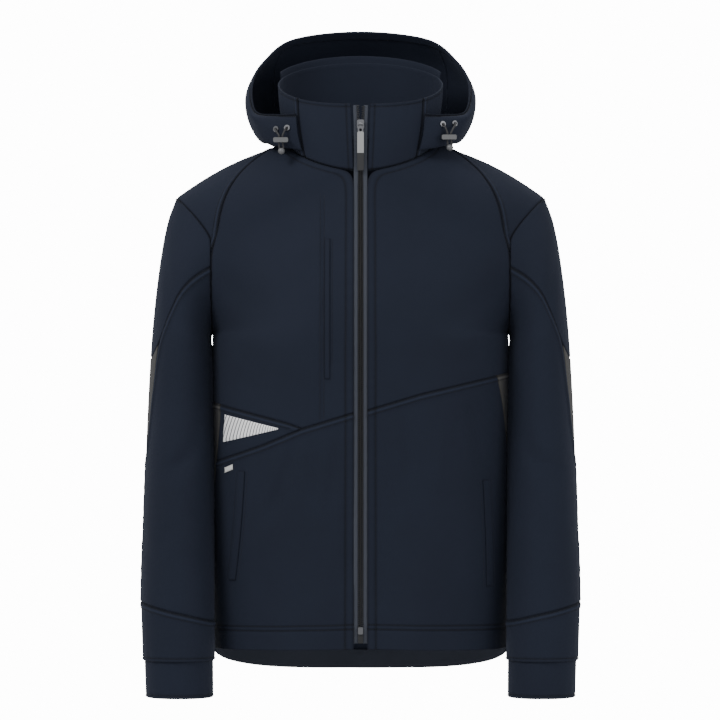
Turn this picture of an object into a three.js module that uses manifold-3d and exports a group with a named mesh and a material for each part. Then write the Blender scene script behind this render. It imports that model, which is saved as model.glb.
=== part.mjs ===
// A hooded softshell jacket, filled out as if worn. Millimetres: +X is the viewer's right, the front
// looks towards -Y and +Z is up. The origin is the middle of the neck, at the height of the points
// where the shoulder seams meet the collar.
import * as THREE from 'three';
import { mergeVertices } from 'three/addons/utils/BufferGeometryUtils.js';
import Module from 'manifold-3d';

const wasm = await Module();
wasm.setup();

// Driving dimensions
const WALL = 2.0; // softshell cloth
const HALF_SEAM = 0.2; // each piece stops this far from a seam line
const LIFT = 0.45; // clearance under a piece that lies on a panel
const ZIP_HALF = 9.2; // from the centre line to the edge of a front
const FRONT_HEM = -669;
const SIDE_HEM = -674;
const BACK_HEM = -715;
const CHEST = -262; // last level row on the centre line
const ARMPIT = -250;
const NECK = { half: 100, front: -88, side: -15, back: 66, frontZ: -33, sideZ: 12, backZ: 20 };
const ARMHOLE = { top: -65, inner: 201, reach: 49, reachDepth: 60, front: 68, back: 66 };
const SHOULDER_CROWN = 9; // how far the shoulder seam rises above a straight line

// Share of the way up a row of the torso: level body, open armhole, neckline
const ROW_ARMPIT = 0.55;
const ROW_NECK = 0.8;
const BACK_NECK = 0.42; // share of the back's top edge that is neckline

// Body sections from hem to neck: half width, and how far front and back stand from the side line
const BODY = [
  { z: -725, half: 202.6, front: 137, back: 127 },
  { z: -600, half: 201, front: 142, back: 122 },
  { z: -450, half: 200.7, front: 148, back: 122 },
  { z: -330, half: 201.2, front: 152, back: 132 },
  { z: -240, half: 201, front: 150, back: 140 },
  { z: -150, half: 201, front: 130, back: 136 },
  { z: -80, half: 201, front: 106, back: 118 },
  { z: -33, half: 201, front: 88, back: 96 },
  { z: 20, half: 201, front: 70, back: 66 },
];
const BODY_ROUNDNESS = 0.87; // 1 is an ellipse, less is squarer
const OPEN_TURN = 62; // degrees by which a row's quarter turn opens from the armpit to the shoulder

// Sections down a sleeve: outer line, inner line, half depth, how far the middle hangs forward
const SLEEVE_LENGTH = 670;
const SLEEVE = [
  { t: 0.0, outer: 250, inner: 201, depth: 67, forward: 0 },
  { t: 0.05, outer: 262, inner: 202, depth: 72, forward: 1 },
  { t: 0.12, outer: 271, inner: 204, depth: 78, forward: 3 },
  { t: 0.25, outer: 281, inner: 202.6, depth: 82, forward: 9 },
  { t: 0.4, outer: 287, inner: 200.3, depth: 78, forward: 20 },
  { t: 0.6, outer: 291, inner: 198.3, depth: 68, forward: 44 },
  { t: 0.8, outer: 294, inner: 196.6, depth: 57, forward: 70 },
  { t: 0.93, outer: 291, inner: 195, depth: 52, forward: 84 },
  { t: 1.0, outer: 289, inner: 194, depth: 49, forward: 90 },
];
const SLEEVE_FAN = 0.45; // rings are level from this share of the sleeve down
const ARMHOLE_GAP = 0.7; // the sleeve's first ring stands this far out from the armhole
const CAP_LENGTH = 0.325; // the cap's point on the outer line
const CAP_ANGLE = 92; // where the cap seam meets the armhole, in front and behind
const CAP_BEND = 3; // makes the cap seam a straight slant seen from the front
const CAP_GAP = 0.4; // degrees kept clear of the cap seam on each side
const MAIN_GAP = 0.6;
const CAP_POINT = 1.6; // degrees to each side of the outer line at the cap's point
const CAP_ROWS = 5;
const ELBOW_ANGLE = 44; // how far the dark elbow panel reaches round from the outer line
const ELBOW_LENGTH = 0.535;
const ELBOW_COLUMNS = 6;
const ELBOW_BEND = 2.5; // how square its lower end is
const ELBOW_CLEAR = 2; // degrees left free at its corners
const FOREARM_ROWS = 6;
const CUFF_SEAM = { outer: 0.812, inner: 0.85 };
const CUFF_END = 0.927;
const CUFF_COLUMNS = 24;
const STORM_TUCK = 0.03; // how far the storm cuff is tucked into the cuff

// Collar top, hood and hem facing
const COLLAR = {
  half: 112, front: -84, side: -12, back: 80, frontZ: 57, backZ: 124, splay: 3.6, belly: 3, chin: 46,
};
const COLLAR_GAP = 1.5;
const BAND_WALL = 1.6;
const COLLAR_COLUMNS = 11;
const BAND_COLUMNS = 6; // of those, the ones behind which the neck band stands
const HOOD_ROOT = 0.1; // share of the collar's height at which the hood is sewn on
const HOOD_CLEAR = 2.3; // from the face of the collar to the face of the hood at its root
const HOOD_SEAM = 4.8; // where the side panels meet the centre panel, in sections
const HOOD_CHANNEL = 3.72; // where the cord channel starts, in points up a section
const FACING_HEIGHT = 26;
const FACING_WALL = 1.0;
const FACING_GAP = 1.3;

// Front zip: heights of its bottom, its slider and the end of the pull, and half widths
const ZIP = {
  bottom: -661, slider: 29, pullEnd: -33, teeth: 3.6, tape: 8.8, recess: 1.2, tapeWall: 0.9,
  sliderWall: 2.2, pin: 0.8, eye: 1.9, pullWidth: 8.8, box: 11,
};

// Pockets, reflective triangle and label, by distance from the centre line and height
const CHEST_POCKET = { top: { x: 44, z: -125 }, bottom: { x: 44, z: -311 }, lean: 0, width: 7 };
const HAND_POCKET_LEFT = { top: { x: 158, z: -434 }, bottom: { x: 171, z: -580 }, lean: -1.5, width: 9 };
const HAND_POCKET_RIGHT = { top: { x: 167, z: -446 }, bottom: { x: 172, z: -588 }, lean: 1, width: 9 };
const REFLECTIVE = { tipX: 109, tipZ: -377, tipHeight: 1.6, wideX: 181, highZ: -359, lowX: 184, lowZ: -396 };
const LABEL = { near: 170, far: 181, low: -432, high: -425 };

// Hood cords: two strands a side, from the eyelets through the lock to the end bead
const CORD = {
  radius: 1.25, eyelet: 4.2, hole: 1.8, eyeletWall: 0.9, seat: 0.5, apart: 2.6, lock: [20, 8, 6.5], bead: 4.6,
  stand: 4.5,
};
const CORD_LEFT = { eyelets: [[98, 25], [113, 24]], lock: [107, 9], bead: [106, -6] };
const CORD_RIGHT = { eyelets: [[110, 31], [126, 32]], lock: [119, 13], bead: [120, -1] };

// Cross seams of the front, by distance from the centre line, and where the side panels start
const SEAM_LEFT_UPPER = [
  { x: 0, z: -353 }, { x: 78, z: -377 }, { x: 96, z: -370 }, { x: 200, z: -343 },
];
const SEAM_LEFT_LOWER = [
  { x: 0, z: -353 }, { x: 78, z: -377 }, { x: 127, z: -398 }, { x: 200, z: -424 },
];
const SEAM_RIGHT = [{ x: 0, z: -355 }, { x: 80, z: -331 }, { x: 200, z: -303 }];
const SEAM_BACK = { left: -343, middle: -326, right: -303 };
const SIDE_PANEL = {
  left: { start: 0.742, top: -343, tip: -540, bend: 1.5 },
  right: { start: 0.691, top: -303, tip: -500, bend: 0.85 },
};
const JUNCTION_COLUMN = 3; // column in which the two left seams part
const WEDGE_START = 0.3; // columns from there to the wedge's point
const SIDE_GAP = 0.012; // share by which the side panel stays clear of the pieces beside it
const BODY_COLUMNS = 11; // from the zip to the side panel
const SIDE_COLUMNS = 3; // from there to the side line
const YOKE_END = 0.03; // share of the shoulder line, from the neck, that the fronts and the back keep
const YOKE_BEND = 1.4;
const YOKE_GAP = 0.018; // the yoke's slanted edge stays this share clear of the fronts and the back

const NAVY = [0.016, 0.022, 0.036];
const GREY = [0.045, 0.045, 0.041];
const MATERIALS = {
  shell: { color: NAVY, roughness: 0.85, metalness: 0 },
  shellInside: { color: [0.012, 0.016, 0.026], roughness: 0.9, metalness: 0 },
  contrast: { color: GREY, roughness: 0.85, metalness: 0 },
  reflective: { color: [0.68, 0.69, 0.7], roughness: 0.35, metalness: 0 },
  labelCloth: { color: [0.8, 0.8, 0.8], roughness: 0.8, metalness: 0 },
  tape: { color: [0.09, 0.1, 0.12], roughness: 0.7, metalness: 0 },
  teeth: { color: [0.02, 0.02, 0.022], roughness: 0.4, metalness: 0 },
  steel: { color: [0.55, 0.55, 0.56], roughness: 0.3, metalness: 1 },
  rubber: { color: [0.25, 0.25, 0.26], roughness: 0.6, metalness: 0 },
  cord: { color: [0.1, 0.1, 0.1], roughness: 0.8, metalness: 0 },
};

// Small vector helpers on [x, y, z]
const add = (a, b, k = 1) => [a[0] + b[0] * k, a[1] + b[1] * k, a[2] + b[2] * k];
const mix = (a, b, t) => a + (b - a) * t;
const mixPoint = (a, b, t) => a.map((value, i) => mix(value, b[i], t));
const cross = (a, b) => [a[1] * b[2] - a[2] * b[1], a[2] * b[0] - a[0] * b[2], a[0] * b[1] - a[1] * b[0]];
const dot = (a, b) => a[0] * b[0] + a[1] * b[1] + a[2] * b[2];
const unit = (a) => {
  const size = Math.hypot(...a) || 1;
  return a.map((value) => value / size);
};
const clamp = (value, low, high) => Math.min(high, Math.max(low, value));
const degrees = (angle) => (angle * Math.PI) / 180;
const steps = (count, from = 0, to = 1) =>
  Array.from({ length: count + 1 }, (_, i) => from + ((to - from) * i) / count);

// Straight lines between the rows of a table
function alongTable(table, key, column, at) {
  const last = table.length - 2;
  let row = table.findIndex((entry, i) => i <= last && at <= table[i + 1][key]);
  row = row < 0 ? last : row;
  const [low, high] = [table[row], table[row + 1]];
  const share = clamp((at - low[key]) / (high[key] - low[key]), 0, 1);
  return mix(low[column], high[column], share);
}

// A smooth curve through the rows of a table, each tangent taken from the rows on both sides
function smoothTable(table, key, column, at) {
  const value = clamp(at, table[0][key], table[table.length - 1][key]);
  const row = clamp(table.findIndex((entry) => value <= entry[key]) - 1, 0, table.length - 2);
  const slope = (i) => {
    const [before, after] = [table[Math.max(i - 1, 0)], table[Math.min(i + 1, table.length - 1)]];
    return (after[column] - before[column]) / (after[key] - before[key]);
  };
  const [low, high] = [table[row], table[row + 1]];
  const span = high[key] - low[key];
  const u = (value - low[key]) / span;
  const [u2, u3] = [u * u, u * u * u];
  return (
    (2 * u3 - 3 * u2 + 1) * low[column] + (u3 - 2 * u2 + u) * span * slope(row) +
    (3 * u2 - 2 * u3) * high[column] + (u3 - u2) * span * slope(row + 1)
  );
}

// A closed solid between an outer and an inner grid of points, open or joined up round the columns
function slab(name, material, outer, inner, ring = false) {
  const rows = outer.length;
  const columns = outer[0].length;
  const positions = [...outer.flat(), ...inner.flat()].flat();
  const faces = [];
  const at = (layer, row, column) => layer * rows * columns + row * columns + (column % columns);
  const quad = (a, b, c, d) => faces.push(a, b, c, a, c, d);
  const cells = ring ? columns : columns - 1;
  for (let row = 0; row < rows - 1; row += 1) {
    for (let column = 0; column < cells; column += 1) {
      const next = column + 1;
      quad(at(0, row, column), at(0, row, next), at(0, row + 1, next), at(0, row + 1, column));
      quad(at(1, row, column), at(1, row + 1, column), at(1, row + 1, next), at(1, row, next));
    }
    if (!ring) {
      const end = columns - 1;
      quad(at(0, row, 0), at(0, row + 1, 0), at(1, row + 1, 0), at(1, row, 0));
      quad(at(0, row, end), at(1, row, end), at(1, row + 1, end), at(0, row + 1, end));
    }
  }
  const top = rows - 1;
  for (let column = 0; column < cells; column += 1) {
    const next = column + 1;
    quad(at(0, 0, column), at(1, 0, column), at(1, 0, next), at(0, 0, next));
    quad(at(0, top, column), at(0, top, next), at(1, top, next), at(1, top, column));
  }
  return solid(name, material, positions, faces);
}

// A named mesh from points and triangles, turned so that its faces look outwards
function solid(name, material, positions, faces) {
  let volume = 0;
  const corner = (i) => positions.slice(faces[i] * 3, faces[i] * 3 + 3);
  for (let i = 0; i < faces.length; i += 3) {
    volume += dot(corner(i), cross(corner(i + 1), corner(i + 2)));
  }
  if (volume < 0) faces.reverse();
  const geometry = new THREE.BufferGeometry();
  geometry.setAttribute('position', new THREE.Float32BufferAttribute(positions, 3));
  geometry.setIndex(faces);
  return piece(name, material, geometry);
}

function piece(name, material, geometry) {
  geometry.computeVertexNormals();
  const { color, roughness, metalness } = MATERIALS[material];
  const look = new THREE.MeshStandardMaterial({ color: new THREE.Color(...color), roughness, metalness });
  const mesh = new THREE.Mesh(geometry, look);
  mesh.name = name;
  return mesh;
}

// Moves the border of a grid in by half a seam, towards the points next to it
function drawIn(grid, ring = false, by = HALF_SEAM) {
  const towards = (point, other) => add(point, unit(add(other, point, -1)), by);
  const result = grid.map((row) => row.map((point) => [...point]));
  const last = grid.length - 1;
  const end = grid[0].length - 1;
  grid[0].forEach((point, i) => { result[0][i] = towards(point, grid[1][i]); });
  grid[last].forEach((point, i) => { result[last][i] = towards(point, grid[last - 1][i]); });
  if (!ring) {
    result.forEach((row, j) => {
      row[0] = towards(row[0], grid[j][1]);
      row[end] = towards(row[end], grid[j][end - 1]);
    });
  }
  return result;
}

// A cloth wall over a grid of { point, inward }: its outer face lies `out` above the surface
function cloth(name, material, grid, { out = 0, thick = WALL, ring = false, gap = HALF_SEAM } = {}) {
  const layer = (depth) => grid.map((row) => row.map(({ point, inward }) => add(point, inward, depth)));
  return slab(name, material, drawIn(layer(-out), ring, gap), drawIn(layer(thick - out), ring, gap), ring);
}

const mirrored = ({ point, inward }) => ({
  point: [-point[0], point[1], point[2]],
  inward: [-inward[0], inward[1], inward[2]],
});
const onSide = (side, place) => (side < 0 ? mirrored(place) : place);

// Neckline at an angle from the centre front (0) over the side (90) to the centre back (180)
function neckline(angle) {
  const turn = degrees(angle);
  const front = angle <= 90;
  const start = front ? ZIP_HALF : 0;
  const x = start + (NECK.half - start) * Math.sin(turn);
  const y = NECK.side + (front ? NECK.front - NECK.side : NECK.side - NECK.back) * Math.cos(turn);
  const z = front
    ? mix(NECK.frontZ, NECK.sideZ, (1 - Math.cos(turn)) ** 0.8)
    : mix(NECK.sideZ, NECK.backZ, -Math.cos(turn));
  return [x, y, z];
}

const neckInward = (angle) => [-Math.sin(degrees(angle)), Math.cos(degrees(angle)), 0];

// Armhole at an angle from the shoulder tip (0) to the armpit (180); face is -1 in front, 1 behind
function armhole(angle, face) {
  const turn = degrees(angle);
  const half = (ARMHOLE.top - ARMPIT) / 2;
  const z = ARMPIT + half + half * Math.cos(turn);
  const rise = clamp(1 - (ARMHOLE.top - z) / ARMHOLE.reachDepth, 0, 1) ** 1.3;
  const depth = face < 0 ? ARMHOLE.front : ARMHOLE.back;
  return [ARMHOLE.inner + ARMHOLE.reach * rise, face * depth * Math.sin(turn), z];
}

const armholeInward = (angle, face) => [0, -face * Math.sin(degrees(angle)), -Math.cos(degrees(angle))];
const armholeAngle = (t) => 180 * (1 - (t - ROW_ARMPIT) / (1 - ROW_ARMPIT));

// Centre line and then neckline of one face, from the hem up
function centreLine(t, face) {
  const column = face < 0 ? 'front' : 'back';
  const hem = face < 0 ? FRONT_HEM : BACK_HEM;
  const neck = face < 0 ? NECK.frontZ : NECK.backZ;
  const end = face < 0 ? ROW_NECK : 1;
  if (t > end) return neckline((90 * (t - ROW_NECK)) / (1 - ROW_NECK));
  const z = t < ROW_ARMPIT
    ? mix(hem, CHEST, t / ROW_ARMPIT)
    : mix(CHEST, neck, (t - ROW_ARMPIT) / (end - ROW_ARMPIT));
  return [face < 0 ? ZIP_HALF : 0, face * smoothTable(BODY, 'z', column, z), z];
}

// Side line and then armhole of one face, from the hem up
function edgeLine(t, face) {
  if (t > ROW_ARMPIT) return armhole(armholeAngle(t), face);
  const z = mix(SIDE_HEM, ARMPIT, t / ROW_ARMPIT);
  return [smoothTable(BODY, 'z', 'half', z), 0, z];
}

// Soft creases: a trough or ridge along a line, by distance from the centre line and height
const CREASES = {
  frontLeft: [
    { x0: 82, z0: -384, x1: 112, z1: -470, depth: 3.0, width: 13 },
    { x0: 26, z0: -372, x1: 18, z1: -560, depth: 2.2, width: 11 },
    { x0: 60, z0: -420, x1: 52, z1: -640, depth: -2.4, width: 24 },
    { x0: 120, z0: -235, x1: 178, z1: -185, depth: 2.4, width: 18 },
    { x0: 120, z0: -500, x1: 135, z1: -660, depth: 2.6, width: 26 },
  ],
  frontRight: [
    { x0: 20, z0: -372, x1: 26, z1: -600, depth: 2.4, width: 12 },
    { x0: 148, z0: -328, x1: 158, z1: -400, depth: 2.6, width: 14 },
    { x0: 88, z0: -400, x1: 74, z1: -640, depth: -2.6, width: 26 },
    { x0: 112, z0: -240, x1: 176, z1: -196, depth: 2.6, width: 18 },
  ],
  backLeft: [
    { x0: 70, z0: -120, x1: 95, z1: -330, depth: 3.0, width: 24 },
    { x0: 110, z0: -380, x1: 96, z1: -650, depth: 3.6, width: 26 },
    { x0: 30, z0: -420, x1: 22, z1: -690, depth: -2.8, width: 24 },
  ],
  backRight: [
    { x0: 82, z0: -150, x1: 100, z1: -300, depth: 2.6, width: 22 },
    { x0: 120, z0: -350, x1: 104, z1: -640, depth: 3.2, width: 28 },
    { x0: 48, z0: -440, x1: 60, z1: -700, depth: -2.6, width: 22 },
  ],
};

function creaseDepth(table, x, z) {
  return table.reduce((sum, { x0, z0, x1, z1, depth, width }) => {
    const [dx, dz] = [x1 - x0, z1 - z0];
    const length = Math.hypot(dx, dz);
    const along = ((x - x0) * dx + (z - z0) * dz) / length;
    const across = ((x - x0) * dz - (z - z0) * dx) / length;
    const beyond = Math.max(-along, along - length, 0) / (width * 1.5);
    const fade = Math.min(1, Math.max(0, along / length + 0.15, 0.15));
    return sum + depth * fade * Math.exp(-((across / width) ** 2) - beyond * beyond);
  }, 0);
}

// Shoulder line from the neck point (0) to the tip (1)
function shoulderLine(share) {
  const point = mixPoint(neckline(90), armhole(0, -1), share);
  return add(point, [0, 0, SHOULDER_CROWN * Math.sin(Math.PI * share)]);
}

// Top edge of the back: neckline and then shoulder line
const backTop = (s) =>
  (s < BACK_NECK ? neckline(180 - (90 * s) / BACK_NECK) : shoulderLine((s - BACK_NECK) / (1 - BACK_NECK)));

// Torso surface of the right half: s from the centre line (0) to the side (1), t from hem to top
function torsoShape(s, t, face) {
  const centre = centreLine(t, face);
  const edge = edgeLine(t, face);
  const open = clamp((t - ROW_ARMPIT) / (1 - ROW_ARMPIT), 0, 1);
  const turn = degrees(90 - OPEN_TURN * open ** 0.6);
  const wide = Math.sin(s * turn) ** BODY_ROUNDNESS / Math.sin(turn) ** BODY_ROUNDNESS;
  const flat = Math.max(Math.cos(turn), 0) ** BODY_ROUNDNESS;
  const deep = (Math.max(Math.cos(s * turn), 0) ** BODY_ROUNDNESS - flat) / (1 - flat);
  const hemDrop = face > 0 && t < ROW_ARMPIT ? 1 - t / ROW_ARMPIT : 0;
  const level = mix(wide, s ** 2.5, hemDrop);
  const crown = face < 0 ? SHOULDER_CROWN * open ** 6 * Math.sin(Math.PI * s) : 0;
  const raw = [
    mix(centre[0], edge[0], wide),
    mix(edge[1], centre[1], deep),
    mix(centre[2], edge[2], level) + crown,
  ];
  if (face < 0 || open === 0) return raw;
  if (t === 1) return backTop(s);
  const end = torsoTop(s);
  return raw.map((value, i) => value + (backTop(s)[i] - end[i]) * open ** 3);
}

// Where the plain rows of the back would end without its top edge
function torsoTop(s) {
  const turn = degrees(90 - OPEN_TURN);
  const wide = Math.sin(s * turn) ** BODY_ROUNDNESS / Math.sin(turn) ** BODY_ROUNDNESS;
  const flat = Math.cos(turn) ** BODY_ROUNDNESS;
  const deep = (Math.cos(s * turn) ** BODY_ROUNDNESS - flat) / (1 - flat);
  const [centre, edge] = [centreLine(1, 1), edgeLine(1, 1)];
  return [mix(centre[0], edge[0], wide), mix(edge[1], centre[1], deep), mix(centre[2], edge[2], wide)];
}

function torso(s, t, face, side) {
  const step = 0.004;
  const [sLow, sHigh] = [Math.max(s - step, 0), Math.min(s + step, 1)];
  const [tLow, tHigh] = [Math.max(t - step, 0), Math.min(t + step, 1)];
  const acrossWay = add(torsoShape(sHigh, t, face), torsoShape(sLow, t, face), -1);
  const upWay = add(torsoShape(s, tHigh, face), torsoShape(s, tLow, face), -1);
  let inward = unit(cross(acrossWay, upWay)).map((value) => value * face);
  const point = torsoShape(s, t, face);
  const table = CREASES[(face < 0 ? 'front' : 'back') + (side < 0 ? 'Left' : 'Right')];
  const calm = clamp((1 - s) / 0.12, 0, 1) * clamp((1 - t) / 0.1, 0, 1);
  const moved = add(point, inward, creaseDepth(table, point[0], point[2]) * calm);
  if (t === 1) inward = [0, 0, -1];
  if (s === 1 && t < ROW_ARMPIT) inward = [-1, 0, 0];
  if (s === 1 && t >= ROW_ARMPIT) inward = armholeInward(armholeAngle(t), face);
  if (s === 0 && t > ROW_NECK && face < 0) inward = neckInward((90 * (t - ROW_NECK)) / (1 - ROW_NECK));
  if (t === 1 && s <= BACK_NECK && face > 0) inward = neckInward(180 - (90 * s) / BACK_NECK);
  return onSide(side, { point: moved, inward });
}

// Row share at which the surface has a given height, below the armpit
function rowAt(z, s, face) {
  const at = (t) => torsoShape(s, t, face)[2];
  let [low, high] = [0, ROW_ARMPIT];
  for (let i = 0; i < 30; i += 1) {
    const middle = (low + high) / 2;
    if (at(middle) < z) low = middle;
    else high = middle;
  }
  return (low + high) / 2;
}

const sideName = (side) => (side < 0 ? 'left' : 'right');

// Share of the way round at which the side panel starts, at a height
function panelEdge(z, side) {
  const { start, top, tip, bend } = SIDE_PANEL[sideName(side)];
  return mix(start, 1, clamp((top - z) / (top - tip), 0, 1) ** bend);
}

// Column positions: evenly to the side panel's edge, and on to the side line
function columnAt(column, edge) {
  return column <= BODY_COLUMNS
    ? (edge * column) / BODY_COLUMNS
    : mix(edge, 1, (column - BODY_COLUMNS) / SIDE_COLUMNS);
}

// Height of a cross seam at a share of the way round
function seamHeight(table, s, face) {
  const x = torsoShape(s, ROW_ARMPIT / 2, face)[0];
  return alongTable(table, 'x', 'z', x);
}

function backSeam(s, side) {
  return mix(SEAM_BACK.middle, side < 0 ? SEAM_BACK.left : SEAM_BACK.right, s);
}

// Rows of places between two heights, with columns that keep to the side panel's edge
function band({ face, side, bottom, top, columns, rows }) {
  return rows.map((share) =>
    columns.map((column) => {
      const lowSide = bottom ? bottom(1) : SIDE_HEM;
      const height = mix(lowSide, top(1), share);
      const s = columnAt(column, panelEdge(height, side));
      const low = bottom ? rowAt(bottom(s), s, face) : 0;
      return torso(s, mix(low, rowAt(top(s), s, face), share), face, side);
    }));
}

// Share of the way round at which the yoke starts
function yokeEdge(t, face) {
  const end = face < 0 ? YOKE_END : mix(BACK_NECK, 1, YOKE_END);
  return 1 - (1 - end) * clamp((t - ROW_NECK) / (1 - ROW_NECK), 0, 1) ** YOKE_BEND;
}

const RISE_ROWS = 2; // from the cross seam to the armpit
const ARMHOLE_ROWS = 5; // from the armpit to the yoke
const YOKE_ROWS = 5; // from there to the shoulder seam
const LOWER_ROWS = 6;
const upperRows = [
  ...steps(ARMHOLE_ROWS, ROW_ARMPIT, ROW_NECK).slice(1),
  ...steps(YOKE_ROWS, ROW_NECK, 1).slice(1),
];
const allColumns = steps(BODY_COLUMNS + SIDE_COLUMNS, 0, BODY_COLUMNS + SIDE_COLUMNS);

// The part of a face above the cross seam, up to the yoke and the shoulder seam
function upperHalf(face, side, seam) {
  const { start } = SIDE_PANEL[sideName(side)];
  const place = (column, share) => {
    const s = columnAt(column, start);
    return torso(s, mix(rowAt(seam(s), s, face), ROW_ARMPIT, share), face, side);
  };
  const rise = steps(RISE_ROWS).map((share) => allColumns.map((column) => place(column, share)));
  const open = upperRows.map((t) =>
    allColumns.map((column) => torso(columnAt(column, start) * yokeEdge(t, face), t, face, side)));
  return [...rise, ...open];
}

const frontSeams = {
  left: {
    upper: (s) => seamHeight(SEAM_LEFT_UPPER, s, -1),
    lower: (s) => seamHeight(SEAM_LEFT_LOWER, s, -1),
  },
  right: {
    upper: (s) => seamHeight(SEAM_RIGHT, s, -1),
    lower: (s) => seamHeight(SEAM_RIGHT, s, -1),
  },
};

// Two halves of the back joined on the centre line
function wholeBack(half) {
  const [left, right] = [half(-1), half(1)];
  return left.map((row, i) => [...row.slice(1).reverse(), ...right[i]]);
}

function torsoPieces() {
  const pieces = [];
  const bodyColumns = steps(BODY_COLUMNS, 0, BODY_COLUMNS);
  for (const side of [-1, 1]) {
    const name = sideName(side);
    const seams = frontSeams[name];
    const lower = { face: -1, side, top: seams.lower, columns: bodyColumns, rows: steps(LOWER_ROWS) };
    pieces.push(cloth(`front_upper_${name}`, 'shell', upperHalf(-1, side, seams.upper)));
    pieces.push(cloth(`front_lower_${name}`, 'shell', band(lower)));
    pieces.push(cloth(`side_panel_${name}`, 'contrast', sidePanel(side)));
    pieces.push(cloth(`shoulder_yoke_${name}`, 'shell', yoke(side)));
  }
  const wedgeColumns = [
    JUNCTION_COLUMN + WEDGE_START, ...steps(BODY_COLUMNS - JUNCTION_COLUMN - 1, JUNCTION_COLUMN + 1, BODY_COLUMNS),
  ];
  const wedge = {
    face: -1, side: -1, bottom: frontSeams.left.lower, top: frontSeams.left.upper,
    columns: wedgeColumns, rows: steps(3),
  };
  pieces.push(cloth('front_wedge_left', 'shell', band(wedge)));
  const backBand = (side) =>
    band({ face: 1, side, top: (s) => backSeam(s, side), columns: bodyColumns, rows: steps(LOWER_ROWS) });
  pieces.push(cloth('back_lower', 'shell', wholeBack(backBand)));
  pieces.push(cloth('back_upper', 'shell', wholeBack((side) => upperHalf(1, side, (s) => backSeam(s, side)))));
  return pieces;
}

// Dark panel round the side line, wide at the cross seam and pointed below
function sidePanel(side) {
  const { top, tip } = SIDE_PANEL[sideName(side)];
  const seams = frontSeams[sideName(side)];
  const rows = steps(7, 0.04, 1);
  const half = (face, seam) => rows.map((share) =>
    steps(SIDE_COLUMNS, BODY_COLUMNS, BODY_COLUMNS + SIDE_COLUMNS).map((column) => {
      const height = mix(tip, top, share);
      const s = columnAt(column, Math.min(panelEdge(height, side) + SIDE_GAP, 1 - SIDE_GAP));
      const z = mix(tip, seam(s), share);
      return torso(s, rowAt(z, s, face), face, side);
    }));
  const front = half(-1, seams.upper);
  const back = half(1, (s) => backSeam(s, side));
  return front.map((row, i) => [...row, ...back[i].slice(0, -1).reverse()]);
}

// Shoulder piece that runs over the top without a shoulder seam, pointed at the armhole
function yoke(side) {
  const shares = [0.14, ...steps(YOKE_ROWS).slice(1)];
  const columns = steps(4);
  const half = (face) => shares.map((share) => {
    const t = mix(ROW_NECK, 1, share);
    return columns.map((column) => torso(mix(yokeEdge(t, face) + YOKE_GAP, 1, column), t, face, side));
  });
  return [...half(-1), ...half(1).reverse().slice(1)];
}

// Rows of a sleeve table at a share of the sleeve's length
const sleeveAt = (column, t) => smoothTable(SLEEVE, 't', column, t);

// Creases at the elbow and forearm, by angle round the sleeve and share of its length
const SLEEVE_CREASES = [
  { angle: 118, spread: 40, t: 0.36, slant: 0.0011, depth: 3.4, width: 0.016 },
  { angle: 150, spread: 46, t: 0.44, slant: 0.0007, depth: 3.0, width: 0.018 },
  { angle: 100, spread: 34, t: 0.53, slant: -0.0008, depth: 2.6, width: 0.02 },
  { angle: 215, spread: 38, t: 0.4, slant: -0.001, depth: 2.8, width: 0.018 },
  { angle: 190, spread: 50, t: 0.66, slant: 0.0006, depth: 2.2, width: 0.022 },
  { angle: 60, spread: 30, t: 0.16, slant: 0.0016, depth: 2.4, width: 0.018 },
  { angle: 300, spread: 34, t: 0.2, slant: -0.0014, depth: 2.6, width: 0.02 },
];

function sleeveCrease(angle, t) {
  return SLEEVE_CREASES.reduce((sum, crease) => {
    const round = (angle - crease.angle) / crease.spread;
    const along = (t - crease.t - crease.slant * (angle - crease.angle)) / crease.width;
    return sum + crease.depth * Math.exp(-round * round - along * along);
  }, 0);
}

// Sleeve surface of the right side: angle 0 on the outer line, 90 in front, 180 on the inner line
function sleeveShape(angle, t) {
  const turn = degrees(angle);
  const round = (value) => Math.sign(value) * Math.abs(value) ** 0.92;
  const outerZ = ARMHOLE.top - SLEEVE_LENGTH * t;
  const innerZ = outerZ - (ARMHOLE.top - ARMPIT) * clamp(1 - t / SLEEVE_FAN, 0, 1) ** 1.5;
  const share = (1 + round(Math.cos(turn))) / 2;
  const depth = sleeveAt('depth', t) * round(Math.sin(turn));
  const ring = [
    mix(sleeveAt('inner', t), sleeveAt('outer', t), share),
    -sleeveAt('forward', t) - depth,
    mix(innerZ, outerZ, share),
  ];
  const near = clamp(1 - t / 0.2, 0, 1) ** 2;
  if (near === 0) return ring;
  const start = [
    mix(ARMHOLE.inner, ARMHOLE.inner + ARMHOLE.reach, share),
    -sleeveAt('depth', 0) * round(Math.sin(turn)),
    mix(ARMPIT, ARMHOLE.top, share),
  ];
  const hole = angle <= 180 ? armhole(angle, -1) : armhole(360 - angle, 1);
  return ring.map((value, i) => value + (hole[i] - start[i]) * near);
}

function sleeve(angle, t, side) {
  const step = 0.4;
  const [low, high] = [Math.max(t - 0.003, 0), Math.min(t + 0.003, 1)];
  const roundWay = add(sleeveShape(angle + step, t), sleeveShape(angle - step, t), -1);
  const downWay = add(sleeveShape(angle, high), sleeveShape(angle, low), -1);
  const point = sleeveShape(angle, t);
  let inward = unit(cross(downWay, roundWay));
  const middle = mixPoint(sleeveShape(0, t), sleeveShape(180, t), 0.5);
  if (dot(inward, add(middle, point, -1)) < 0) inward = inward.map((value) => -value);
  const calm = clamp(t / 0.08, 0, 1) * clamp((0.8 - t) / 0.08, 0, 1);
  let moved = add(point, inward, sleeveCrease(((angle % 360) + 360) % 360, t) * calm);
  if (t === 0) {
    inward = angle <= 180 ? armholeInward(angle, -1) : armholeInward(360 - angle, 1);
    moved = add(moved, [1, 0, 0], ARMHOLE_GAP);
  }
  return onSide(side, { point: moved, inward });
}

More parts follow.
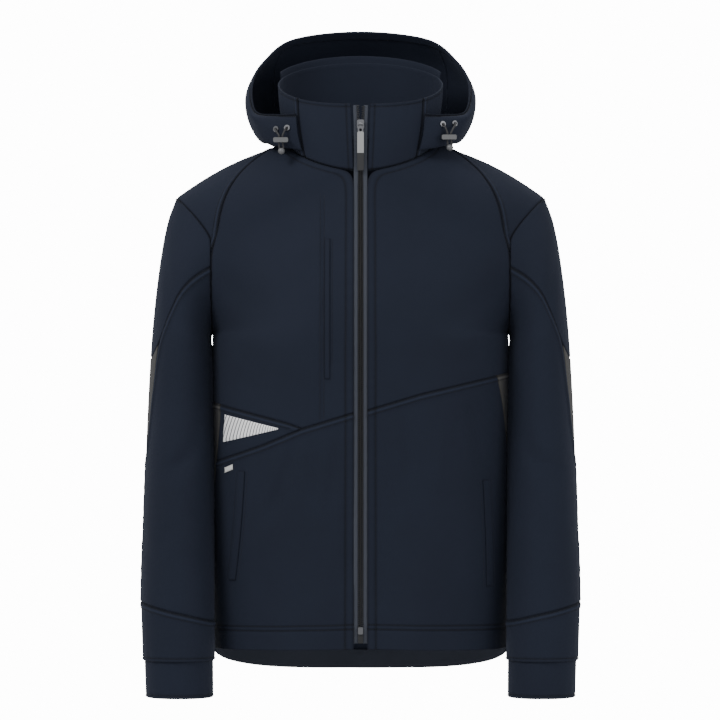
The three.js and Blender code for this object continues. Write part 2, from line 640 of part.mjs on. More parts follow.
const sleeveColumn = (angle, t, side) => sleeve((angle + 360) % 360, t, side);

// Share of the length at which the cap seam and the elbow panel's lower edge cross an angle
const capEnd = (angle) => CAP_LENGTH * (1 - (angle / CAP_ANGLE) ** CAP_BEND);
const elbowEnd = (angle) =>
  capEnd(ELBOW_ANGLE) + (ELBOW_LENGTH - capEnd(ELBOW_ANGLE)) * (1 - (angle / ELBOW_ANGLE) ** ELBOW_BEND);
const cuffSeam = (angle) => mix(CUFF_SEAM.outer, CUFF_SEAM.inner, (1 - Math.cos(degrees(angle))) / 2);

function sleevePieces(side) {
  const name = sideName(side);
  const elbowAngles = steps(ELBOW_COLUMNS, ELBOW_ANGLE, 0);
  const start = capEnd(ELBOW_ANGLE);
  const capRows = steps(CAP_ROWS, 0, start).slice(0, -1);
  const capAngle = (t) => CAP_ANGLE * (1 - t / CAP_LENGTH) ** (1 / CAP_BEND);

  const capEdges = [...capRows.map((t) => [t, capAngle(t)]), ...elbowAngles.map((angle) => [capEnd(angle), angle])];
  capEdges[capEdges.length - 1] = [capEnd(CAP_POINT), CAP_POINT];
  const capGrid = capEdges.map(([t, edge]) =>
    steps(2 * YOKE_ROWS, -1, 1).map((share) => sleeveColumn(share * (edge - CAP_GAP), t, side)));

  const mainEdges = [
    ...capRows.map((t) => [t, capAngle(t)]),
    ...elbowAngles.map((angle) => [elbowEnd(angle), angle]),
  ];
  const upper = mainEdges.map(([t, edge]) =>
    steps(2 * ARMHOLE_ROWS, edge + MAIN_GAP, 360 - edge - MAIN_GAP)
      .map((angle) => sleeveColumn(angle, t, side)));
  const below = steps(FOREARM_ROWS).slice(1).map((share) =>
    steps(2 * ARMHOLE_ROWS, MAIN_GAP, 360 - MAIN_GAP).map((angle) =>
      sleeveColumn(angle, mix(ELBOW_LENGTH, cuffSeam(angle), share), side)));

  const elbowGrid = steps(5).map((share) =>
    steps(2 * ELBOW_COLUMNS, -1, 1).map((turn) => {
      const angle = turn * (ELBOW_ANGLE - ELBOW_CLEAR);
      const t = mix(capEnd(Math.abs(angle)), elbowEnd(Math.abs(angle)), mix(0.02, 0.97, share));
      return sleeveColumn(angle, t, side);
    }));

  const ring = (low, high, count) => steps(count).map((share) =>
    steps(CUFF_COLUMNS, 0, 360).slice(0, -1).map((angle) =>
      sleeveColumn(angle, mix(low(angle), high(angle), share), side)));
  const cuffEnd = () => CUFF_END;
  return [
    cloth(`sleeve_cap_${name}`, 'shell', capGrid),
    cloth(`sleeve_${name}`, 'shell', [...upper, ...below]),
    cloth(`elbow_panel_${name}`, 'contrast', elbowGrid, { gap: 0.5 }),
    cloth(`cuff_${name}`, 'shell', ring(cuffSeam, cuffEnd, 2), { ring: true, gap: 0.6 }),
    cloth(`storm_cuff_${name}`, 'shell', ring(() => CUFF_END - STORM_TUCK, () => 1, 2),
      { out: -WALL - LIFT, ring: true }),
  ];
}

// Collar surface of the right side: angle from the zip (0) to the centre back (180), v up its height
function collarShape(angle, v) {
  const turn = degrees(angle);
  const base = add(neckline(angle), [0, 0, COLLAR_GAP]);
  const front = angle <= 90;
  const start = front ? ZIP_HALF + COLLAR.splay : 0;
  const top = [
    start + (COLLAR.half - start) * Math.sin(turn),
    COLLAR.side + (front ? COLLAR.front - COLLAR.side : COLLAR.side - COLLAR.back) * Math.cos(turn),
    mix(COLLAR.frontZ, COLLAR.backZ, ((1 - Math.cos(turn)) / 2) ** 1.1),
  ];
  const belly = COLLAR.belly * Math.sin(Math.PI * clamp(v, 0, 1));
  return add(mixPoint(base, top, v), neckInward(angle), -belly);
}

function collar(angle, v, side) {
  const acrossWay = add(collarShape(Math.min(angle + 1, 180), v), collarShape(Math.max(angle - 1, 0), v), -1);
  const upWay = add(collarShape(angle, v + 0.01), collarShape(angle, v - 0.01), -1);
  const normal = unit(cross(upWay, acrossWay));
  const facing = dot(normal, neckInward(angle)) < 0 ? -1 : 1;
  let inward = v === 0 ? neckInward(angle) : normal.map((value) => value * facing);
  if (angle === 0 || angle === 180) inward = unit([0, inward[1], inward[2]]);
  return onSide(side, { point: collarShape(angle, v), inward });
}

// Joins the grids of the two sides at the centre back
const roundTheBack = (half) => half(-1).map((row, i) => [...row, ...half(1)[i].slice(0, -1).reverse()]);

function collarPieces() {
  const rows = steps(4);
  const chin = (side) => rows.map((v) => steps(5, 0, COLLAR.chin).map((angle) => collar(angle, v, side)));
  const angles = steps(COLLAR_COLUMNS, COLLAR.chin, 180);
  const rest = (side) => rows.map((v) => angles.map((angle) => collar(angle, v, side)));
  const neckBand = (side) => [0.42, 0.5, 0.75, 1, 1.1].map((v) =>
    angles.slice(-BAND_COLUMNS - 1).map((angle) => collar(angle, v, side)));
  return [
    cloth('chin_panel_left', 'shell', chin(-1)),
    cloth('chin_panel_right', 'shell', chin(1)),
    cloth('collar', 'shell', roundTheBack(rest)),
    cloth('hood_neck_band', 'shell', roundTheBack(neckBand), { out: BAND_WALL + LIFT, thick: BAND_WALL }),
  ];
}

// Hood sections from the chin seam to the centre back. The root lies on the collar at an angle; the
// others run down and out, up, and in to the edge of the face opening
const HOOD = [
  { angle: 47, low: [80, -70, -2], out: [84, -71, 15], high: [86, -70, 32], brim: [87, -68, 45] },
  { angle: 62, low: [104, -60, 0], out: [111, -62, 18], high: [115, -58, 35], brim: [114, -54, 45] },
  { angle: 78, low: [127, -36, 7], out: [140, -36, 25], high: [148, -31, 43], brim: [142, -27, 52] },
  { angle: 95, low: [132, 6, 8], out: [152, 8, 34], high: [158, 12, 70], brim: [148, 14, 93] },
  { angle: 120, low: [126, 66, 10], out: [150, 72, 42], high: [150, 70, 92], brim: [132, 60, 127] },
  { angle: 150, low: [84, 116, -6], out: [106, 140, 40], high: [108, 122, 116], brim: [92, 92, 159] },
  { angle: 180, low: [0, 134, -18], out: [0, 168, 36], high: [0, 156, 122], brim: [0, 112, 171] },
];

// A smooth curve through a list of points, at a position counted in points
function throughPoints(points, position) {
  const last = points.length - 1;
  const i = clamp(Math.floor(position), 0, last - 1);
  const u = position - i;
  const [before, low, high, after] = [Math.max(i - 1, 0), i, i + 1, Math.min(i + 2, last)].map((k) => points[k]);
  return low.map((value, k) => {
    const leave = (high[k] - before[k]) / 2;
    const arrive = (after[k] - value) / 2;
    return value + u * leave + u * u * (3 * (high[k] - value) - 2 * leave - arrive)
      + u * u * u * (2 * (value - high[k]) + leave + arrive);
  });
}

// Hood surface of the right side: u counts sections from the chin, v counts points from the root
function hoodShape(u, v) {
  const stations = HOOD.map((row) => {
    const root = add(collarShape(row.angle, HOOD_ROOT), neckInward(row.angle), -HOOD_CLEAR);
    return throughPoints([root, row.low, row.out, row.high, row.brim], v);
  });
  const last = stations.length - 1;
  const mirrorAtBack = [...stations, [-stations[last - 1][0], ...stations[last - 1].slice(1)]];
  return throughPoints(mirrorAtBack, u);
}

function hood(u, v, side) {
  const acrossWay = add(hoodShape(Math.min(u + 0.03, 6.02), v), hoodShape(Math.max(u - 0.03, 0), v), -1);
  const upWay = add(hoodShape(u, Math.min(v + 0.03, 4)), hoodShape(u, Math.max(v - 0.03, 0)), -1);
  const inward = unit(cross(acrossWay, upWay)).map((value) => -value);
  if (u === HOOD.length - 1) inward[0] = 0;
  return onSide(side, { point: hoodShape(u, v), inward });
}

function hoodPieces() {
  const rows = steps(8, 0, HOOD_CHANNEL);
  const back = HOOD.length - 1;
  const sidePanelGrid = (side) => rows.map((v) => steps(13, 0, HOOD_SEAM).map((u) => hood(u, v, side)));
  const centre = (side) => rows.map((v) => steps(4, HOOD_SEAM, back).map((u) => hood(u, v, side)));
  const channel = (side) => steps(2, HOOD_CHANNEL + 0.02, 4).map((v) =>
    [...steps(13, 0, HOOD_SEAM), ...steps(4, HOOD_SEAM, back).slice(1)].map((u) => hood(u, v, side)));
  return [
    cloth('hood_side_left', 'shell', sidePanelGrid(-1)),
    cloth('hood_side_right', 'shell', sidePanelGrid(1)),
    cloth('hood_centre', 'shell', roundTheBack(centre)),
    cloth('hood_channel', 'shell', roundTheBack(channel), { out: 0.5, thick: WALL + 1 }),
  ];
}

// Facing sewn round the inside of the hem
function hemFacing() {
  const columns = steps(BODY_COLUMNS, 0, BODY_COLUMNS);
  const inside = { out: -WALL - FACING_GAP, thick: FACING_WALL };
  const grid = (face, side) => {
    const top = (s) => torsoShape(s, 0, face)[2] + FACING_HEIGHT;
    return band({ face, side, top, columns, rows: [0, 1] });
  };
  return [
    cloth('hem_facing_left', 'shellInside', grid(-1, -1), inside),
    cloth('hem_facing_right', 'shellInside', grid(-1, 1), inside),
    cloth('hem_facing_back', 'shellInside', wholeBack((side) => grid(1, side)), inside),
  ];
}

// Distance from the side line of the outer face on the centre line, from the hem to the collar's top
function zipFace(z) {
  const base = NECK.frontZ + COLLAR_GAP;
  if (z <= base) return -smoothTable(BODY, 'z', 'front', z);
  const share = clamp((z - base) / (COLLAR.frontZ - base), 0, 1);
  return collarShape(0, share)[1];
}

const zipSplay = (z) => (clamp(z - ZIP.slider, 0, 100) * COLLAR.splay) / (COLLAR.frontZ - NECK.frontZ);

// A strip along the zip between two distances from the centre line
function zipStrip(name, material, { side, from, to, low, high, depth, thick, rows }) {
  const grid = steps(rows).map((share) => {
    const z = mix(low, high, share);
    const y = zipFace(z) + depth;
    return [from, to].map((x) => ({ point: [side * (x + zipSplay(z)), y, z], inward: [0, 1, 0] }));
  });
  return cloth(name, material, grid, { thick, gap: 0 });
}

// Box with its centre, size and rounded edges along one axis
function block(name, material, centre, size, round = 0, axis = 'z') {
  const [width, height, depth] = axis === 'x' ? [size[1], size[2], size[0]]
    : axis === 'y' ? [size[0], size[2], size[1]] : size;
  const shape = new THREE.Shape();
  const [w, h, r] = [width / 2, height / 2, round];
  shape.moveTo(-w + r, -h);
  shape.lineTo(w - r, -h);
  shape.absarc(w - r, -h + r, r, -Math.PI / 2, 0);
  shape.absarc(w - r, h - r, r, 0, Math.PI / 2);
  shape.absarc(-w + r, h - r, r, Math.PI / 2, Math.PI);
  shape.absarc(-w + r, -h + r, r, Math.PI, 1.5 * Math.PI);
  return extruded(name, material, shape, depth, centre, axis);
}

// A flat outline given its thickness along an axis, centred there
function extruded(name, material, shape, depth, centre, axis) {
  const geometry = new THREE.ExtrudeGeometry(shape, { depth, bevelEnabled: false, curveSegments: 4 });
  geometry.translate(0, 0, -depth / 2);
  if (axis === 'y') geometry.rotateX(Math.PI / 2);
  if (axis === 'x') geometry.rotateX(Math.PI / 2).rotateZ(Math.PI / 2);
  geometry.translate(...centre);
  return piece(name, material, geometry);
}

// Joins and cuts closed meshes in turn: [['add', mesh], ['subtract', mesh], ...]
function combined(name, material, first, rest) {
  const asManifold = (mesh) => {
    const plain = mesh.geometry.clone();
    plain.deleteAttribute('normal');
    if (plain.getAttribute('uv')) plain.deleteAttribute('uv');
    const merged = mergeVertices(plain, 1e-4);
    return new wasm.Manifold(new wasm.Mesh({
      numProp: 3,
      vertProperties: new Float32Array(merged.getAttribute('position').array),
      triVerts: new Uint32Array(merged.getIndex().array),
    }));
  };
  const whole = rest.reduce((body, [work, mesh]) => body[work](asManifold(mesh)), asManifold(first));
  const { vertProperties, triVerts } = whole.getMesh();
  const geometry = new THREE.BufferGeometry();
  geometry.setAttribute('position', new THREE.Float32BufferAttribute(vertProperties, 3));
  geometry.setIndex(Array.from(triVerts));
  return piece(name, material, geometry);
}

// Round bar along X
function bar(radius, length, centre) {
  const geometry = new THREE.CylinderGeometry(radius, radius, length, 12).rotateZ(Math.PI / 2);
  geometry.translate(...centre);
  return piece('bar', 'steel', geometry);
}

function zipPieces() {
  const face = zipFace(ZIP.slider);
  const run = { low: ZIP.bottom, high: COLLAR.frontZ - 2, rows: 16 };
  const pieces = [];
  for (const side of [-1, 1]) {
    const name = sideName(side);
    const tape = { ...run, side, from: ZIP.teeth, to: ZIP.tape, depth: ZIP.recess, thick: ZIP.tapeWall };
    pieces.push(zipStrip(`zip_tape_${name}`, 'tape', tape));
    const teeth = { ...run, side, from: 0.2, to: ZIP.teeth - 0.3, depth: ZIP.recess - 1, thick: 2.4 };
    pieces.push(zipStrip(`zip_teeth_${name}`, 'teeth', { ...teeth, low: ZIP.bottom + ZIP.box + 0.6 }));
  }

  const bodyY = face + ZIP.recess - 2 - ZIP.sliderWall / 2;
  const pinY = bodyY - ZIP.sliderWall / 2 - ZIP.eye - 0.3;
  const plate = block('slider', 'steel', [0, bodyY, ZIP.slider], [9.4, ZIP.sliderWall, 12.5], 2.4, 'y');
  const lugs = [-1, 1].map((side) =>
    ['add', block('lug', 'steel', [side * 3, (pinY + bodyY) / 2 - 0.6, ZIP.slider], [1.3, bodyY - pinY + 2.4, 3.4],
      0.6, 'x')]);
  pieces.push(combined('zip_slider', 'steel', plate, [...lugs, ['add', bar(ZIP.pin, 6.6, [0, pinY, ZIP.slider])]]));

  const top = ZIP.slider - ZIP.eye + 0.3;
  const eye = bar(ZIP.eye, 3.8, [0, pinY, ZIP.slider]);
  const neck = block('neck', 'steel', [0, pinY, top - 1.3], [3.4, 1.8, 4], 0.4, 'y');
  const link = block('link', 'steel', [0, pinY, top - 6.4], [7.6, 1.8, 10], 3.4, 'y');
  const ringHole = block('hole', 'steel', [0, pinY, top - 6.2], [3.4, 6, 4.4], 1.6, 'y');
  const pinHole = bar(ZIP.pin + 0.35, 8, [0, pinY, ZIP.slider]);
  pieces.push(combined('zip_pull_link', 'steel', eye, [
    ['add', neck], ['add', link], ['subtract', ringHole], ['subtract', pinHole],
  ]));

  const tabTop = top - 8.4;
  const tabCentre = (tabTop + ZIP.pullEnd) / 2;
  const tab = block('tab', 'rubber', [0, pinY, tabCentre], [ZIP.pullWidth, 2.6, tabTop - ZIP.pullEnd], 2, 'y');
  const pocket = block('pocket', 'rubber', [0, pinY, top - 6.4], [8.2, 2.4, 10.6], 3.6, 'y');
  pieces.push(combined('zip_pull_tab', 'rubber', tab, [['subtract', pocket]]));

  const endY = zipFace(ZIP.bottom + ZIP.box / 2) + ZIP.recess - 0.7;
  const boxMiddle = [0, endY, ZIP.bottom + ZIP.box / 2 + 0.3];
  pieces.push(block('zip_bottom_box', 'teeth', boxMiddle, [ZIP.teeth * 2 - 0.6, 3, ZIP.box], 0.8, 'y'));
  const stopZ = ZIP.bottom + ZIP.box + 6;
  const stopY = zipFace(stopZ) + ZIP.recess - 1.3 - 1.2;
  pieces.push(block('zip_bottom_stop', 'steel', [0, stopY, stopZ], [6.6, 2.2, 9.6], 1.4, 'y'));
  return pieces;
}

// Place on a front, by distance from the centre line and height
function onFront(x, z, side) {
  let s = clamp(x / ARMHOLE.inner, 0.02, 0.9);
  let t = clamp((z - FRONT_HEM) / (NECK.frontZ - FRONT_HEM), 0.02, 0.9) * ROW_NECK;
  for (let i = 0; i < 14; i += 1) {
    const here = torsoShape(s, t, -1);
    const [ds, dt] = [add(torsoShape(s + 0.002, t, -1), here, -1), add(torsoShape(s, t + 0.002, -1), here, -1)];
    const scale = ds[0] * dt[2] - dt[0] * ds[2];
    const [dx, dz] = [x - here[0], z - here[2]];
    s = clamp(s + (0.002 * (dx * dt[2] - dz * dt[0])) / scale, 0.001, 0.995);
    t = clamp(t + (0.002 * (dz * ds[0] - dx * ds[2])) / scale, 0.001, ROW_NECK - 0.002);
  }
  return torso(s, t, -1, side);
}

// A piece that lies on a front, between a left and a right edge given as rows of height and distance
function patch(name, material, side, edges, thick, columns) {
  const grid = edges.map(({ z, from, to, slope = 0 }) =>
    steps(columns).map((share) => {
      const x = mix(from, to, share);
      return onFront(x, z + slope * (x - from), side);
    }));
  return cloth(name, material, grid, { out: LIFT + thick, thick, gap: 0 });
}

function patches() {
  const welt = (name, side, { top, bottom, lean, width }) => {
    const edges = steps(8).map((share) => {
      const middle = mix(bottom.x, top.x, share) + lean * Math.sin(Math.PI * share);
      return { z: mix(bottom.z, top.z, share), from: middle - width / 2, to: middle + width / 2 };
    });
    return patch(name, 'shell', side, edges, 1.2, 1);
  };
  // The triangle's rows run from its lower to its upper edge, its columns from the tip to the wide end
  const { tipX, tipZ, tipHeight, wideX, highZ, lowX, lowZ } = REFLECTIVE;
  const triangle = steps(5).map((share) =>
    steps(9).map((along) => {
      const spread = tipHeight * (share - 0.5) * (1 - along);
      const high = [mix(tipX, wideX, along), mix(tipZ, highZ, along)];
      const low = [mix(tipX, lowX, along), mix(tipZ, lowZ, along)];
      return onFront(mix(low[0], high[0], share), mix(low[1], high[1], share) + spread, -1);
    }));
  return [
    welt('chest_pocket_welt', -1, CHEST_POCKET),
    welt('hand_pocket_welt_left', -1, HAND_POCKET_LEFT),
    welt('hand_pocket_welt_right', 1, HAND_POCKET_RIGHT),
    cloth('reflective_triangle', 'reflective', triangle, { out: LIFT + 0.7, thick: 0.7, gap: 0 }),
    patch('label_tab', 'labelCloth', -1, [
      { z: LABEL.low, from: LABEL.near, to: LABEL.far, slope: -0.45 },
      { z: LABEL.high, from: LABEL.near, to: LABEL.far, slope: -0.45 },
    ], 0.9, 2),
  ];
}

// Position on the hood nearest to a distance from the centre line and a height
function onHood(x, z) {
  let best = null;
  for (const u of steps(60, 0.1, 3)) {
    for (const v of steps(40, 1.2, 3.6)) {
      const point = hoodShape(u, v);
      const miss = Math.hypot(point[0] - x, point[2] - z);
      if (!best || miss < best.miss) best = { miss, u, v };
    }
  }
  return best;
}

// Eyelets, two cord ends, cord lock and end bead on one side of the hood
function drawcord(side, { eyelets, lock, bead }) {
  const name = sideName(side);
  const pieces = [];
  const starts = eyelets.map(([x, z], i) => {
    const { u, v } = onHood(x, z);
    const { point, inward } = hood(u, v, side);
    const outward = inward.map((value) => -value);
    const washer = new THREE.Shape();
    washer.absarc(0, 0, CORD.eyelet, 0, 2 * Math.PI);
    const hole = new THREE.Path();
    hole.absarc(0, 0, CORD.hole, 0, 2 * Math.PI, true);
    washer.holes.push(hole);
    const depth = CORD.eyeletWall;
    const geometry = new THREE.ExtrudeGeometry(washer, { depth, bevelEnabled: false, curveSegments: 6 });
    const turn = new THREE.Quaternion().setFromUnitVectors(new THREE.Vector3(0, 0, 1), new THREE.Vector3(...outward));
    geometry.applyQuaternion(turn);
    geometry.translate(...add(point, outward, CORD.seat));
    pieces.push(piece(`eyelet_${name}_${i + 1}`, 'steel', geometry));
    return add(point, outward, CORD.seat + CORD.eyeletWall + CORD.radius + 0.4);
  });
  const front = Math.min(...starts.map((point) => point[1])) - CORD.stand;
  const half = CORD.lock[2] / 2;
  const gate = (i) => [side * (lock[0] + (i === 0 ? -1 : 1) * CORD.apart), front, lock[1]];
  const finish = (i) => [side * (bead[0] + (i === 0 ? -1 : 1) * CORD.apart), front, bead[1] + CORD.bead + 0.2];
  const lockBlock = block('lock', 'rubber', [side * lock[0], front, lock[1]], CORD.lock, 2, 'y');
  const cuts = [0, 1].map((i) => ['subtract', channelAt(gate(i))]);
  pieces.push(combined(`cord_lock_${name}`, 'rubber', lockBlock, cuts));
  starts.forEach((start, i) => {
    pieces.push(cordThrough(`drawcord_${name}_${i + 1}`, [
      start, add(gate(i), [0, 0, half + 3]), add(gate(i), [0, 0, half]), add(gate(i), [0, 0, -half - 0.5]), finish(i),
    ]));
  });
  const sphere = new THREE.SphereGeometry(CORD.bead, 14, 10);
  sphere.translate(side * bead[0], front, bead[1]);
  const flat = block('flat', 'rubber', [side * bead[0], front, bead[1] + CORD.bead * 1.4], [20, 20, CORD.bead], 1, 'z');
  pieces.push(combined(`cord_end_${name}`, 'rubber', piece('bead', 'rubber', sphere), [['subtract', flat]]));
  return pieces;
}

const channelAt = ([x, y, z]) => {
  const geometry = new THREE.CylinderGeometry(CORD.radius + 0.9, CORD.radius + 0.9, 40, 12).rotateX(Math.PI / 2);
  geometry.translate(x, y, z);
  return piece('channel', 'rubber', geometry);
};

function cordThrough(name, points) {
  const shape = new THREE.Shape();
  shape.absarc(0, 0, CORD.radius, 0, 2 * Math.PI);
  const path = new THREE.CatmullRomCurve3(points.map((point) => new THREE.Vector3(...point)), false, 'centripetal');
  return piece(name, 'cord', new THREE.ExtrudeGeometry(shape, { steps: 9, curveSegments: 4, extrudePath: path }));
}

const jacket = new THREE.Group();
jacket.add(...torsoPieces());
jacket.add(...sleevePieces(-1));
jacket.add(...sleevePieces(1));
jacket.add(...collarPieces());
jacket.add(...hoodPieces());
jacket.add(...hemFacing());
jacket.add(...zipPieces());
jacket.add(...patches());
jacket.add(...drawcord(-1, CORD_LEFT));
jacket.add(...drawcord(1, CORD_RIGHT));

export default jacket;
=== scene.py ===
# %% [markdown]
# # A hooded softshell jacket, filled out as if worn
#
# The jacket hangs in the air as if somebody wore it, and is seen straight from the front. Softshell is a
# stretch cloth about two millimetres thick: it bends in wide, round folds, keeps a thick edge at the hem and
# the hood, and shows every seam as a low step with rows of stitching beside it.
#
# Each pattern piece of the jacket is made here as one surface of two parameters: `a` runs across the piece
# from 0 to 1, and `b` runs up it. numpy evaluates whole grids of such points at once, and a helper turns a
# grid into a closed wall of cloth. All lengths are in millimetres until a mesh is made.

# %%
import math

import bpy
import numpy as np
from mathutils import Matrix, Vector


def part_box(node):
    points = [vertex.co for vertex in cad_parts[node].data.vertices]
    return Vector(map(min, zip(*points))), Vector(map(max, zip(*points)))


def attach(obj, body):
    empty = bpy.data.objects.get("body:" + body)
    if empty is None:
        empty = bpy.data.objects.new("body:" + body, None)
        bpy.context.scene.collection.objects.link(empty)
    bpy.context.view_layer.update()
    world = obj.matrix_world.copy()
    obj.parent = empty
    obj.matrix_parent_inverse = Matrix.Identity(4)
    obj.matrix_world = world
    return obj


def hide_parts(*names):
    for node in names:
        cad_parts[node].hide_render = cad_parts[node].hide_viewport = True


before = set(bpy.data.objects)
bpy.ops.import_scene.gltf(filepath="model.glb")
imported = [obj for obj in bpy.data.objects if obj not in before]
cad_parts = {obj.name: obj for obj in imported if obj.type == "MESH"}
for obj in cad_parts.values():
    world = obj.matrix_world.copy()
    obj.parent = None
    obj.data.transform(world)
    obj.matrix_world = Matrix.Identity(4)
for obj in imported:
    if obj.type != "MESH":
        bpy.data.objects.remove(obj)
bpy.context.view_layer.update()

# %% [markdown]
# ## Camera
#
# The photograph is level and taken from far away, so that the left and the right edge of the jacket show no
# sides. A long lens, five metres off, gives that flat view. The camera looks along +Y at the middle of the
# jacket's height.

# %%
camera_data = bpy.data.cameras.new("camera")
camera_data.lens = 183.8
camera_data.sensor_width = 36.0
camera = bpy.data.objects.new("camera", camera_data)
camera.location = (-0.0007, -5.0, -0.286)
camera.rotation_euler = (math.radians(90), 0, 0)
bpy.context.scene.collection.objects.link(camera)
bpy.context.scene.camera = camera
print("camera at", tuple(camera.location), "lens", camera_data.lens)

# %% [markdown]
# ## Meshes from arrays
#
# A mesh is a list of points and a list of faces. `make_mesh` takes both as arrays, writes them in one go with
# `foreach_set`, and shades the faces smooth. `grid_faces` gives the faces of a grid of rows and columns.

# %%
MM = 0.001


def make_mesh(name, points, faces, uv=None, smooth=True, tone=None):
    """A mesh object from points in millimetres (n x 3) and four-cornered faces (m x 4), with an optional
    texture position for each point, in metres across and up the cloth. A tone for each point, painted shade
    below 0 and painted highlight above 0, is kept as the U of a second texture layer."""
    points = np.asarray(points, float).reshape(-1, 3) * MM
    faces = np.asarray(faces, np.int32).reshape(-1, 4)
    mesh = bpy.data.meshes.new(name)
    mesh.vertices.add(len(points))
    mesh.vertices.foreach_set("co", points.astype(np.float32).ravel())
    mesh.loops.add(faces.size)
    mesh.loops.foreach_set("vertex_index", faces.ravel())
    mesh.polygons.add(len(faces))
    mesh.polygons.foreach_set("loop_start", np.arange(0, faces.size, 4, dtype=np.int32))
    mesh.polygons.foreach_set("loop_total", np.full(len(faces), 4, np.int32))
    mesh.polygons.foreach_set("use_smooth", np.full(len(faces), smooth))
    if uv is not None:
        layer = mesh.uv_layers.new(name="cloth")
        layer.data.foreach_set("uv", np.asarray(uv, np.float32)[faces.ravel()].ravel())
    if tone is not None:
        # second layer: painted shade below 0, painted highlight above 0
        layer = mesh.uv_layers.new(name="seam")
        pairs = np.stack([np.ravel(tone), np.zeros(np.size(tone))], -1).astype(np.float32)
        layer.data.foreach_set("uv", pairs[faces.ravel()].ravel())
    mesh.update()
    mesh.validate()
    made = bpy.data.objects.new(name, mesh)
    bpy.context.scene.collection.objects.link(made)
    return made


def grid_faces(rows, columns, start=0, ring=False, flip=False):
    """Faces of a grid whose points are stored row by row from index start; a ring joins the last column to
    the first one, and flip turns the faces to look the other way."""
    across = columns if ring else columns - 1
    row, column = np.meshgrid(np.arange(rows - 1), np.arange(across), indexing="ij")
    after = (column + 1) % columns
    here = start + row * columns
    faces = np.stack([here + column, here + after, here + columns + after, here + columns + column], -1)
    faces = faces.reshape(-1, 4)
    return faces[:, ::-1] if flip else faces


def volume(points, faces):
    """Signed volume inside a closed mesh: positive when the faces look outwards."""
    a, b, c, d = (points[faces[:, i]] for i in range(4))
    return float((np.cross(a, b) * c).sum() + (np.cross(a, c) * d).sum()) / 6


def unit(vectors):
    """Vectors along the last axis, brought to length 1."""
    return vectors / np.maximum(np.linalg.norm(vectors, axis=-1, keepdims=True), 1e-9)


def mix(low, high, share):
    """Straight blend from low to high."""
    return low + (high - low) * share


def smooth_table(table, at):
    """Smooth curve through (key, value) rows; each slope is the difference of the rows on both sides over
    the difference of their keys, and the curve between two rows is the cubic with those end slopes."""
    keys, values = np.array(table, float).T
    at = np.clip(at, keys[0], keys[-1])
    row = np.clip(np.searchsorted(keys, at, side="left") - 1, 0, len(keys) - 2)
    before = np.maximum(np.arange(len(keys)) - 1, 0)
    after = np.minimum(np.arange(len(keys)) + 1, len(keys) - 1)
    slope = (values[after] - values[before]) / (keys[after] - keys[before])
    span = keys[row + 1] - keys[row]
    u = (at - keys[row]) / span
    return (
        (2 * u**3 - 3 * u**2 + 1) * values[row] + (u**3 - 2 * u**2 + u) * span * slope[row]
        + (3 * u**2 - 2 * u**3) * values[row + 1] + (u**3 - u**2) * span * slope[row + 1]
    )


print("mesh helpers ready")

# %% [markdown]
# ## Hood cords
#
# On each side one round cord comes out of the upper eyelet of the hood, runs down through a two-hole lock
# into the end bead, turns there and comes back up to the other eyelet. It is drawn as a curve with a round
# profile: its points are taken from where the eyelets, the lock and the bead stand.

# %%
CORD_RADIUS, CORD_APART = 1.25, 2.6
CORD_STEPS = 9  # steps of the curve between two points
BEAD_TURN, FOLD_DROP = 4.6, 0.6  # height of the turn above the bead's foot, and the fold's drop below it
STRAND_START = 2.6  # how far a strand stands straight out of its eyelet
LOCK_HEIGHTS = (6.2, 3.0, -3.6)  # heights, from the middle of the lock, that each strand runs through
STRAND_END, STRAND_CLOSE = 3.0, 0.96  # at the lower end: height above the turn, share of the distance apart
UP = np.array([0, 0, 1.0])


def smooth_path(points):
    """A smooth line through points: between two of them it leaves and arrives with half the difference of
    their neighbours."""
    points = np.asarray(points, float)
    before, after = points[[0, *range(len(points) - 2)]], points[[*range(2, len(points)), -1]]
    low, high = points[:-1], points[1:]
    u = (np.arange(CORD_STEPS) / CORD_STEPS)[None, :, None]
    leave, arrive = ((high - before) / 2)[:, None], ((after - low) / 2)[:, None]
    low, high = low[:, None], high[:, None]
    square = 3 * (high - low) - 2 * leave - arrive
    cube = 2 * (low - high) + leave + arrive
    line = low + u * leave + u**2 * square + u**3 * cube
    return np.concatenate([line.reshape(-1, 3), points[-1:]])


def box_middle(node):
    """Middle of a solid piece's box, in millimetres."""
    low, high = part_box(node)
    return (np.array(low) + np.array(high)) / 2 / MM


def hood_cord(word, side):
    """The cord of one side as a curve, from eyelet to bead and back."""
    first, second = box_middle(f"eyelet_{word}_1"), box_middle(f"eyelet_{word}_2")
    lock, bead = box_middle(f"cord_lock_{word}"), box_middle(f"cord_end_{word}")
    turn = np.array([bead[0], lock[1], np.array(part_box(f"cord_end_{word}")[0])[2] / MM + BEAD_TURN])
    across = np.array([-side * CORD_APART, 0, 0])
    out = np.array([side * 0.5, -0.85, -0.1])

    def strand(start, shift):
        """Points from an eyelet through one hole of the lock to just above the turn."""
        through = [lock + shift + UP * height for height in LOCK_HEIGHTS]
        return [start, start + out * STRAND_START, *through, turn + shift * STRAND_CLOSE + UP * STRAND_END]

    down, up = strand(first, across), strand(second, -across)[::-1]
    path = smooth_path(down + [turn - UP * FOLD_DROP] + up)
    curve = bpy.data.curves.new(f"hood_cord_{word}", "CURVE")
    curve.dimensions = "3D"
    curve.bevel_depth = 1.0  # times the radius of each point below
    curve.bevel_resolution = 3
    curve.use_fill_caps = True
    spline = curve.splines.new("POLY")
    spline.points.add(len(path) - 1)
    corners = np.column_stack([path * MM, np.ones(len(path))]).astype(np.float32)
    spline.points.foreach_set("co", corners.ravel())
    spline.points.foreach_set("radius", np.full(len(path), CORD_RADIUS * MM, np.float32))
    made = bpy.data.objects.new(f"hood_cord_{word}", curve)
    bpy.context.scene.collection.objects.link(made)
    length = float(np.linalg.norm(np.diff(path, axis=0), axis=1).sum())
    return made, path, length


